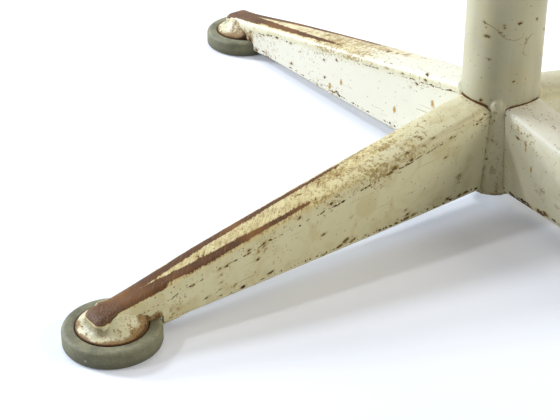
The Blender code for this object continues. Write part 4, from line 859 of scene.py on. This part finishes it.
def add_foot_cup(name, turn):
    """Pressed dome under the toe. Its crown runs up into the leg's sides, and a lumpy weld joins it to the nose."""
    shape = bmesh.new()
    layers = marked(shape, ENAMEL_MARKS)
    spin = Matrix.Rotation(math.radians(turn), 3, "Z")
    centre = spin @ Vector((FOOT_CIRCLE_RADIUS, 0, 0))
    steps, rings = 128, 56
    floor = RING_FLOOR + CLEARANCE

    def ring(radius, height_at):
        row = []
        for step in range(steps):
            angle = math.tau * step / steps
            along, across = radius * math.cos(angle), radius * math.sin(angle)
            vert = shape.verts.new(centre + spin @ Vector((along, across, height_at(along, across))))
            blotch = 0.5 + noise((along * 160, across * 160, turn))
            outside = nose_distance(along, across)
            rim = soft_step(CUP_RADIUS - 1.1 * MM, CUP_RADIUS - 0.2 * MM, radius)
            weld = soft_step(5 * MM, 9 * MM, along) * soft_step(3.5 * MM, 0.5 * MM, outside)
            stain = 0.30 * blotch + 0.34 * soft_step(CUP_RADIUS - 3.5 * MM, CUP_RADIUS, radius)
            stain += 0.26 * soft_step(3 * MM, -9 * MM, along)
            vert[layers["rust"]] = max(rim, stain)
            vert[layers["chip"]] = 0.16 + 0.2 * soft_step(CUP_RADIUS - 7 * MM, CUP_RADIUS - 2 * MM, radius)
            vert[layers["speck"]] = 0.62
            # Greyed and caked on the weld under the nose: partly dirt, partly painted shade under the nose.
            vert[layers["age_and_shade"]] = 0.9 + 1.7 * weld
            row.append(vert)
        return row

    def upper(along, across):
        radius = math.hypot(along, across)
        outside = nose_distance(along, across)
        front = soft_step(2 * MM, 9 * MM, along)
        lump = 0.35 * noise((along * 330, across * 330, turn + 5)) + 0.15 * noise((along * 800, across * 800, turn))
        fillet = (CUP_FILLET + (CUP_WELD - CUP_FILLET) * front) * (1 + front * lump)
        share = min(max(outside, 0) + 0.2 * MM, fillet) / fillet
        rise = fillet * (1 - math.sqrt(1 - (1 - share) ** 2))
        return dome_height(radius) + rise * soft_step(-2.2 * MM, -0.5 * MM, outside)

    rows = [[shape.verts.new(centre + Vector((0, 0, floor)))] * steps, ring(CUP_RADIUS, lambda a, c: floor)]
    rows += [ring(CUP_RADIUS * (1 - step / rings), upper) for step in range(rings)]
    rows.append([shape.verts.new(centre + Vector((0, 0, dome_height(0))))] * steps)
    skin(shape, rows)
    add_piece(f"foot_cup_{name}_dome", shape, ENAMEL, "base", "cream_enamel", f"foot_cup_{name}", sharp=50)


def add_foot_ring(name, turn):
    """Rubber ring with soft edges and a shallow land round its bore."""
    shape = bmesh.new()
    layers = marked(shape, ("dirt",))
    centre = Matrix.Rotation(math.radians(turn), 4, "Z") @ Matrix.Translation((FOOT_CIRCLE_RADIUS, 0, 0))
    outer, foot, soft, lip = RING_RADIUS, RING_LOWER_EDGE, RING_EDGE, RING_BORE_EDGE
    profile = [(0, 0), (outer * 0.5, 0), *arc((outer - foot, foot), foot, -90, -8, 5)]
    profile += [(outer, RING_HEIGHT * 0.45), *arc((outer - soft, RING_HEIGHT - soft), soft, 4, 90, 7)]
    profile.append((outer - 4 * MM, RING_HEIGHT - 0.05 * MM))
    profile += arc((RING_BORE_RADIUS + lip, RING_HEIGHT - lip - 0.1 * MM), lip, 90, 180, 4)
    profile += [(RING_BORE_RADIUS, RING_FLOOR), (0, RING_FLOOR)]

    def mark(vert, radius, height):
        side = soft_step(outer - 1.4 * MM, outer - 0.3 * MM, radius)
        bore = soft_step(RING_BORE_RADIUS + 1.2 * MM, RING_BORE_RADIUS, radius)
        vert[layers["dirt"]] = max(0.55 * side + 0.3 * side * soft_step(5 * MM, 1 * MM, height), 0.8 * bore)
        sway = 1 + 0.006 * noise(vert.co * 90)
        vert.co.z *= sway if height > 1 * MM else 1

    turned(shape, profile, 112, centre, mark)
    add_piece(f"foot_ring_{name}_rubber", shape, RUBBER, "base", "grey_rubber", f"foot_ring_{name}", sharp=60)


def weld_bulge(turn, height):
    """How far the weld between two legs stands out of the column at an angle off its middle."""
    across = COLUMN_RADIUS * math.sin(turn)
    share = min(max((height - COLUMN_BOTTOM) / (LEG_HUB_HEIGHT - COLUMN_BOTTOM), 0), 1)
    lumps = 1 + 0.26 * noise((across * 260, height * 190, 2)) + 0.24 * noise((across * 620, height * 540, 7))
    half = (WELD_BOTTOM_HALF + (WELD_TOP_HALF - WELD_BOTTOM_HALF) * share) * lumps
    fade = soft_step(NUB_HEIGHT, LEG_HUB_HEIGHT - 4 * MM, height)
    bead = WELD_RISE * lumps * fade * math.cos(math.pi / 2 * min(abs(across) / half, 1)) ** 0.7
    over = (across / (NUB_HALF * lumps)) ** 2 + ((height - NUB_HEIGHT) / NUB_RISE) ** 2
    return max(bead, NUB_DEPTH * lumps * math.sqrt(max(1 - over, 0)))


def add_column():
    """Tube with the four weld runs in the corners between the legs."""
    shape = bmesh.new()
    layers = marked(shape, ENAMEL_MARKS)
    steps, weld_rows, upper_rows = 288, 76, 40
    low = [COLUMN_BOTTOM + 0.9 * MM * step for step in range(weld_rows)]
    high = [low[-1] + (COLUMN_TOP - low[-1]) * step / upper_rows for step in range(1, upper_rows + 1)]
    rows = []
    for height in low + high:
        row = []
        for step in range(steps):
            angle = math.tau * step / steps
            off_leg = (angle + math.pi / 4) % (math.pi / 2) - math.pi / 4
            off_weld = angle % (math.pi / 2) - math.pi / 4
            bulge = weld_bulge(off_weld, height)
            radius = COLUMN_RADIUS + bulge
            vert = shape.verts.new((radius * math.cos(angle), radius * math.sin(angle), height))
            seam = leg_crest(COLUMN_RADIUS * math.cos(off_leg), COLUMN_RADIUS * math.sin(off_leg))
            by_leg = soft_step(math.radians(42), math.radians(34), abs(off_leg))
            on_top = soft_step(math.radians(33), math.radians(27), abs(off_leg))
            above = height - seam
            line = on_top * soft_step(1.0 * MM, 0.2 * MM, above) * soft_step(-6 * MM, -3 * MM, above)
            creep = 0.34 * soft_step(9 * MM, 0, above) * (0.5 + noise((angle * 6, height * 60, 1)))
            corner = 0.32 * (1 - by_leg) * spot(height - 26 * MM, 8 * MM)
            sole = 0.38 * soft_step(4 * MM, 0.5 * MM, height - COLUMN_BOTTOM)
            weld = soft_step(0.2 * MM, 1 * MM, bulge)
            vert[layers["rust"]] = max(line, creep, corner, sole)
            smudge = 0.40 * noise((vert.co.x * 90, vert.co.y * 90, height * 40))
            smudge += 0.06 * noise((angle * 14, height * 9, 5))
            # The column's enamel is greyer and darker than the legs' all over: partly grime, partly painted shade for
            # the shade the column stands in under the seat.
            vert[layers["age_and_shade"]] = 2.05 - 0.35 * weld + smudge * (1 - weld)
            vert[layers["chip"]] = 0.02 + 0.04 * soft_step(0.08, 0.12, height) + 0.06 * weld
            vert[layers["speck"]] = 0.12 + 0.22 * weld + 0.12 * (0.5 + noise((angle * 2, height * 25, 8)))
            row.append(vert)
        rows.append(row)
    bore = [circle(shape, COLUMN_BORE_RADIUS, height, steps) for height in (COLUMN_TOP, COLUMN_BOTTOM)]
    skin(shape, [*rows, *bore, rows[0]])
    add_piece("column_tube_welded", shape, ENAMEL, "base", "cream_enamel", "column_tube", sharp=55)


# Seat, spider and back


def neighbours(points):
    """Each point of a closed outline, between the one before and the one after."""
    return zip(points[-1:] + points[:-1], points, points[1:] + points[:1])


def rounded_outline(corners, arc_steps, spacing):
    """Closed outline from (x, y, radius) corners, with its straight sides divided."""
    outline = []
    for before, corner, after in neighbours(corners):
        here = Vector(corner[:2])
        back, on = Vector(before[:2]) - here, Vector(after[:2]) - here
        half = back.angle(on) / 2
        reach = min(corner[2] / math.tan(half), 0.49 * min(back.length, on.length))
        start = here + back.normalized() * reach
        middle = here + (back.normalized() + on.normalized()).normalized() * (reach / math.cos(half))
        side = 1 if back.cross(on) < 0 else -1
        sweep = side * (math.pi - 2 * half)
        turns = [Matrix.Rotation(sweep * step / arc_steps, 2) for step in range(arc_steps + 1)]
        outline += [middle + turn @ (start - middle) for turn in turns]
    divided = []
    for here, after in zip(outline, outline[1:] + outline[:1]):
        pieces = max(1, round((after - here).length / spacing))
        divided += [here.lerp(after, step / pieces) for step in range(pieces)]
    return divided


def inset_outline(outline, distance):
    moved = []
    for before, here, after in neighbours(outline):
        first, second = (here - before).normalized(), (after - here).normalized()
        along = (first + second).normalized()
        moved.append(here + Vector((-along.y, along.x)) * (distance / max(along.dot(second), 0.5)))
    return moved


def add_board(name, outline, top_at, thickness, place, body, replaced):
    """Moulded plywood over a plan outline, its cut edge rounded. Place carries plan and height to the chair."""
    shape = bmesh.new()
    layers = marked(shape, ("rim", "through"))
    veneer = shape.verts.layers.float_vector.new("veneer")
    centre = sum(outline, Vector((0, 0))) / len(outline)

    def ring(points, drop, rim):
        row = []
        for p in points:
            vert = shape.verts.new(place @ Vector((p.x, p.y, top_at(p) - drop)))
            vert[layers["rim"]] = rim
            vert[layers["through"]] = drop / thickness
            vert[veneer] = Vector((p.x, p.y, drop))
            row.append(vert)
        return row

    face_rings, side_rings = 16, 8
    shares = [step / face_rings for step in range(1, face_rings + 1)]
    narrow = inset_outline(outline, BOARD_EDGE)
    faces = [[centre + (p - centre) * share for p in narrow] for share in shares]
    rows = [ring([centre], 0, 0) * len(outline)]
    rows += [ring(points, 0, 0) for points in faces]
    edge = [
        (inset_outline(outline, inset), drop, turn / 90)
        for turn, (inset, drop) in zip(ROUNDING_TURNS, rounding(BOARD_EDGE, ROUNDING_TURNS))
    ]
    rows += [ring(*part) for part in edge]
    for step in range(1, side_rings):
        rows.append(ring(outline, BOARD_EDGE + (thickness - 2 * BOARD_EDGE) * step / side_rings, 1))
    rows += [ring(points, thickness - drop, rim) for points, drop, rim in edge[::-1]]
    rows += [ring(points, thickness, 0) for points in faces[::-1]]
    rows.append(ring([centre], thickness, 0) * len(outline))
    skin(shape, rows)
    return add_piece(name, shape, PLYWOOD, body, "beech_plywood", replaced, sharp=60)


def seat_top(p):
    """Flat over the spider, dished to the sides, rolled down at the front."""
    side = max(abs(p.x) - SEAT_FLAT_HALF, 0) / (SEAT_WIDTH / 2 - SEAT_FLAT_HALF)
    front = max(-p.y - SEAT_FLAT_HALF, 0) / (SEAT_FRONT - SEAT_FLAT_HALF)
    rear = max(p.y - SEAT_FLAT_REAR, 0) / (SEAT_REAR - SEAT_FLAT_REAR)
    lift = SEAT_SIDE_LIFT * side**2 * (1 - min(front, 1) ** 2)
    return SEAT_HEIGHT + lift - SEAT_FRONT_DROP * front**2 + SEAT_REAR_LIFT * rear**2


def back_front(p):
    """Front face of the backrest, as a height towards the sitter."""
    wrap = BACK_WRAP_RADIUS - math.sqrt(BACK_WRAP_RADIUS**2 - p.x**2)
    crown = BACK_CROWN_RADIUS - math.sqrt(BACK_CROWN_RADIUS**2 - p.y**2)
    return wrap - crown - BACK_FRONT


def corner_plan(width, low, high, radius):
    half = width / 2
    return [(-half, low, radius), (half, low, radius), (half, high, radius), (-half, high, radius)]


def add_boards():
    seat = rounded_outline(corner_plan(SEAT_WIDTH, -SEAT_FRONT, SEAT_REAR, SEAT_CORNER), 18, 0.009)
    add_board("seat_board_plywood", seat, seat_top, SEAT_THICKNESS, Matrix.Identity(4), "seat", "seat_board")
    back = rounded_outline(corner_plan(BACK_WIDTH, -BACK_HEIGHT / 2, BACK_HEIGHT / 2, BACK_CORNER), 18, 0.008)
    upright = Matrix(((1, 0, 0, 0), (0, 0, -1, 0), (0, 1, 0, 0), (0, 0, 0, 1)))
    place = Matrix.Translation(PIVOT) @ Matrix.Rotation(-BAR_LEAN, 4, "X") @ upright
    add_board("back_board_plywood", back, back_front, BACK_THICKNESS, place, "backrest", "back_board")


def add_spider():
    """Four tapered arms pressed from one sheet, open below."""
    corner = SPIDER_ROOT / (1 + (SPIDER_ROOT - SPIDER_TIP) / SPIDER_REACH)
    corners = []
    for number in range(4):
        turn = Matrix.Rotation(math.pi / 4 + math.pi / 2 * number, 2)
        arm = [(corner, -corner, SPIDER_FILLET)]
        arm += [(SPIDER_REACH + SPIDER_TIP, side * SPIDER_TIP, SPIDER_TIP) for side in (-1, 1)]
        corners += [(*(turn @ Vector((x, y))), radius) for x, y, radius in arm]
    outline = rounded_outline(corners, 8, 0.012)
    shape = bmesh.new()
    loops = rounding(SPIDER_BEND_RADIUS, range(0, 91, 15))
    side = SPIDER_DEPTH - SPIDER_BEND_RADIUS
    for share in (1 / 3, 2 / 3, 1):
        loops.append((math.tan(SPIDER_DRAFT) * SPIDER_DEPTH * share, SPIDER_BEND_RADIUS + side * share))
    rows = [circle(shape, 0, SPIDER_TOP, len(outline))]
    for inset, drop in loops:
        rows.append([shape.verts.new((p.x, p.y, SPIDER_TOP - drop)) for p in inset_outline(outline, inset)])
    skin(shape, rows)
    mark_upper_wear(shape)
    piece = add_piece("seat_spider_pressing", shape, ENAMEL, "seat", "cream_enamel", "seat_spider", sharp=50)
    thicken(piece, SPIDER_SHEET)


# Knobs, ball and dressed CAD pieces


def add_knob(name, place, body, replaced):
    """Lobed knob about local Z below its face, with rounded rims and a dished cap."""
    shape = bmesh.new()
    steps = KNOB_LOBES * 16
    rims = [(KNOB_EDGE, 0), *[(inset, -drop) for inset, drop in rounding(KNOB_EDGE, ROUNDING_TURNS)]]
    rims += [(inset, -KNOB_HEIGHT - drop) for inset, drop in rims[::-1]]
    rows = [circle(shape, 0, 0, steps, place)]
    for inset, height in rims:
        row = []
        for step in range(steps):
            turn = math.tau * step / steps
            radius = KNOB_RADIUS - KNOB_LOBE_DEPTH * (1 - math.cos(KNOB_LOBES * turn)) / 2 - inset
            row.append(shape.verts.new(place @ Vector((radius * math.cos(turn), radius * math.sin(turn), height))))
        rows.append(row)
    for radius, dish in KNOB_DISH:
        rows.append(circle(shape, radius, dish - KNOB_HEIGHT, steps, place))
    skin(shape, rows)
    add_piece(name, shape, PHENOLIC, body, "black_phenolic", replaced, sharp=50)


def centre_of(name):
    low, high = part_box(name)
    return (low + high) / 2


def add_knobs():
    depth = centre_of("depth_knob")
    depth.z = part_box("depth_knob")[1].z
    add_knob("depth_knob_moulding", Matrix.Translation(depth), "depth_lock", "depth_knob")
    behind = Vector((0, math.cos(BAR_LEAN), -math.sin(BAR_LEAN)))
    face = centre_of("height_knob") - behind * KNOB_HEIGHT / 2
    place = Matrix.Translation(face) @ Matrix.Rotation(-BAR_LEAN, 4, "X") @ Matrix.Rotation(math.pi / 2, 4, "X")
    add_knob("height_knob_moulding", place, "height_lock", "height_knob")
    shape = bmesh.new()
    flat = BALL_RADIUS * 0.94
    profile = [(0, -BALL_RADIUS), *arc((0, 0), BALL_RADIUS, -84, 72, 26), (3.4 * MM, flat), (0, flat)]
    lean = (centre_of("lever_ball") - centre_of("column_collar")).yz.normalized()
    place = Matrix.Translation(centre_of("lever_ball")) @ Matrix.Rotation(math.atan2(lean.x, -lean.y), 4, "X")
    turned(shape, profile, 48, place)
    add_piece("lever_ball_moulding", shape, PHENOLIC, "lock", "black_phenolic", "lever_ball", sharp=50)


def add_lock_lever():
    """Clamp screw and hub turned in one, and the tapered arm that leaves it with a small flare."""
    middle = Matrix.Translation((0, 0, LOCK_HEIGHT))
    start, end, screw = LOCK_SCREW
    near, far, hub = LEVER_HUB
    soft, point = 1.6 * MM, 0.8 * MM
    profile = [(0, start), (screw - point, start), (screw, start + point), (screw, end)]
    profile += arc((hub - soft, near + soft), soft, -90, 0, 5) + arc((hub - soft, far - soft), soft, 0, 90, 5)
    profile += [(hub * 0.55, far), (hub * 0.5, far - 0.4 * MM), (0, far - 0.4 * MM)]
    shape = bmesh.new()
    turned(shape, profile, 56, middle @ Matrix.Rotation(math.pi / 2, 4, "Y"))
    add_piece("lock_lever_hub", shape, DRAWN_STEEL, "lock", "bright_steel", "lock_lever", sharp=50)
    profile = [(0, -LEVER_END), (LEVER_TIP_RADIUS, -LEVER_END), (LEVER_TIP_RADIUS, -LEVER_END + 6 * MM)]
    for drop in LEVER_STATIONS:
        taper = LEVER_ROOT_RADIUS + (LEVER_TIP_RADIUS - LEVER_ROOT_RADIUS) * drop / LEVER_END
        profile.append((taper + LEVER_FLARE * soft_step(*LEVER_FLARE_AT, drop), -drop))
    profile.append((0, -LEVER_STATIONS[-1]))
    shape = bmesh.new()
    turned(shape, profile, 48, middle @ Matrix.Rotation(-LEVER_ANGLE, 4, "X") @ Matrix.Translation((LEVER_PLANE, 0, 0)))
    add_piece("lock_lever_arm", shape, DRAWN_STEEL, "lock", "bright_steel", "lock_lever", sharp=50)


def dress(name, finish, body, slot, soft_edge=0.4 * MM):
    """The CAD node's own solid as a finished piece: facets smoothed and sharp edges broken."""
    shape = bmesh.new()
    shape.from_mesh(nodes[name].data)
    bmesh.ops.remove_doubles(shape, verts=shape.verts, dist=2e-6)
    bmesh.ops.dissolve_limit(shape, angle_limit=math.radians(0.5), verts=shape.verts, edges=shape.edges)
    if finish is ENAMEL:
        mark_upper_wear(shape)
    piece = add_piece(f"{name}_finished", shape, finish, body, slot, name, sharp=42)
    bevel = piece.modifiers.new("broken edge", "BEVEL")
    bevel.width = soft_edge
    bevel.segments = 2
    bevel.limit_method = "ANGLE"
    bevel.angle_limit = math.radians(40)
    bevel.harden_normals = True


CREAM, BUSHING = (ENAMEL, "cream_enamel"), (BRONZE, "bearing_bronze")
BRIGHT, ZINC, SPRING = ((finish, "bright_steel") for finish in (DRAWN_STEEL, ZINC_STEEL, SPRING_STEEL))
DRESSED = {
    "base": {"column_collar": CREAM, "column_bush": BUSHING, "column_plug": ZINC},
    "post": {
        "post_tube": BRIGHT,
        "post_foot": BUSHING,
        "spindle": ZINC,
        "thrust_washer": BUSHING,
        "spindle_washer": ZINC,
        "spindle_nut": ZINC,
    },
    "seat": {
        "seat_hub": CREAM,
        "hub_bush": BUSHING,
        "back_guide": CREAM,
        **{f"{kind}_{n}": ZINC for kind in ("seat_bolt", "seat_nut", "guide_screw") for n in range(1, 5)},
    },
    "depth_lock": {"depth_screw": ZINC},
    "back_support": {"back_bar": SPRING},
    "slider": {"back_slider": CREAM, "hinge_pin": ZINC},
    "height_lock": {"height_screw": ZINC, "height_washer": ZINC},
    "backrest": {"back_leaf": CREAM, **{f"back_rivet_{n}": ZINC for n in range(1, 5)}},
}


def add_pieces():
    for name, turn in LEG_TURNS.items():
        add_leg(name, turn)
        add_foot_cup(name, turn)
        add_foot_ring(name, turn)
    add_column()
    add_boards()
    add_spider()
    add_knobs()
    add_lock_lever()
    for body, members in DRESSED.items():
        for name, (finish, slot) in members.items():
            dress(name, finish, body, slot)


# Studio

CAMERA_PLACE = Vector((0.5811, -0.5732, 0.4699))
CAMERA_YAW = math.radians(-54.374)
CAMERA_PITCH = math.radians(30.946)
CAMERA_ROLL = math.radians(-0.061)
CAMERA_LENS = 99.76
CAMERA_SENSOR = 36
SKY_FILL = 0.12  # strength of the sky as a light
FLOOR_LIFT = 0.16  # glow that the camera sees on the floor
FLOOR_HALF = 12
FLOOR_DROP = 0.1 * MM  # clear of the rubber


def add_camera():
    camera = bpy.data.cameras.new("camera")
    camera.lens = CAMERA_LENS
    camera.sensor_width = CAMERA_SENSOR
    view = new_object("camera", camera)
    level = math.cos(CAMERA_PITCH)
    forward = Vector((math.sin(CAMERA_YAW) * level, math.cos(CAMERA_YAW) * level, -math.sin(CAMERA_PITCH)))
    view.location = CAMERA_PLACE
    view.rotation_mode = "QUATERNION"
    view.rotation_quaternion = forward.to_track_quat("-Z", "Y") @ Quaternion((0, 0, 1), CAMERA_ROLL)
    bpy.context.scene.camera = view


def add_sun(name, strength, spread, azimuth, elevation, tint):
    """A far lamp; azimuth and elevation give the direction from the chair to it."""
    sun = bpy.data.lights.new(name, "SUN")
    sun.energy = strength
    sun.angle = math.radians(spread)
    sun.color = linear(tint)[:3]
    lamp = new_object(name, sun)
    azimuth, elevation = math.radians(azimuth), math.radians(elevation)
    level = math.cos(elevation)
    towards = Vector((math.cos(azimuth) * level, math.sin(azimuth) * level, math.sin(elevation)))
    lamp.rotation_mode = "QUATERNION"
    lamp.rotation_quaternion = towards.to_track_quat("Z", "Y")


def seen_rays(add):
    """1 on rays that come straight from the camera or by way of a reflection or clear thing, 0 on all others."""
    camera = add("LightPath", output="Is Camera Ray")
    seen = add(MAXIMUM, (camera, camera.node.outputs["Is Glossy Ray"]))
    return add(MAXIMUM, (seen, camera.node.outputs["Is Transmission Ray"]))


def add_lamps():
    add_sun("key", 1.5, 12, -159, 38, "#ecf4ff")
    add_sun("low", 2.4, 12, -149, 18, "#eef5ff")
    add_sun("front", 0.66, 4, -119, 38, "#f6faff")
    add_sun("back", 1.5, 30, 44, 25, "#fbf5e2")
    add_sun("top", 1.1, 36, 135, 72, "#f4f8ff")
    world = bpy.data.worlds.new("studio")
    bpy.context.scene.world = world
    world.use_nodes = True
    world.node_tree.nodes.clear()
    add = partial(node, world.node_tree)
    strength = add(RANGE, (seen_rays(add), 0, 1, SKY_FILL, 1))
    add("OutputWorld", {"Surface": add("Background", {"Color": "#ffffff", "Strength": strength})})


def add_floor():
    """White studio floor. What the camera sees of it is lifted to white, and it keeps the shadows."""
    shape = bmesh.new()
    bmesh.ops.create_grid(shape, x_segments=4, y_segments=4, size=FLOOR_HALF)
    mesh = bpy.data.meshes.new("floor")
    shape.to_mesh(mesh)
    shape.free()
    floor = new_object("floor", mesh)
    floor.location.z = -FLOOR_DROP
    material, add = new_finish("white studio floor")
    seen = seen_rays(add)
    paper = add("BsdfDiffuse", {"Color": add(MIX, (seen, "#e8e6de", "#f6f9ff"))})
    glow = add("Emission", {"Color": "#d8e4ff", "Strength": add(MULTIPLY, (seen, FLOOR_LIFT))})
    add("OutputMaterial", {"Surface": add("AddShader", (paper, glow))})
    mesh.materials.append(material)


add_pieces()
add_camera()
add_lamps()
add_floor()
bpy.context.scene.view_settings.view_transform = "Standard"
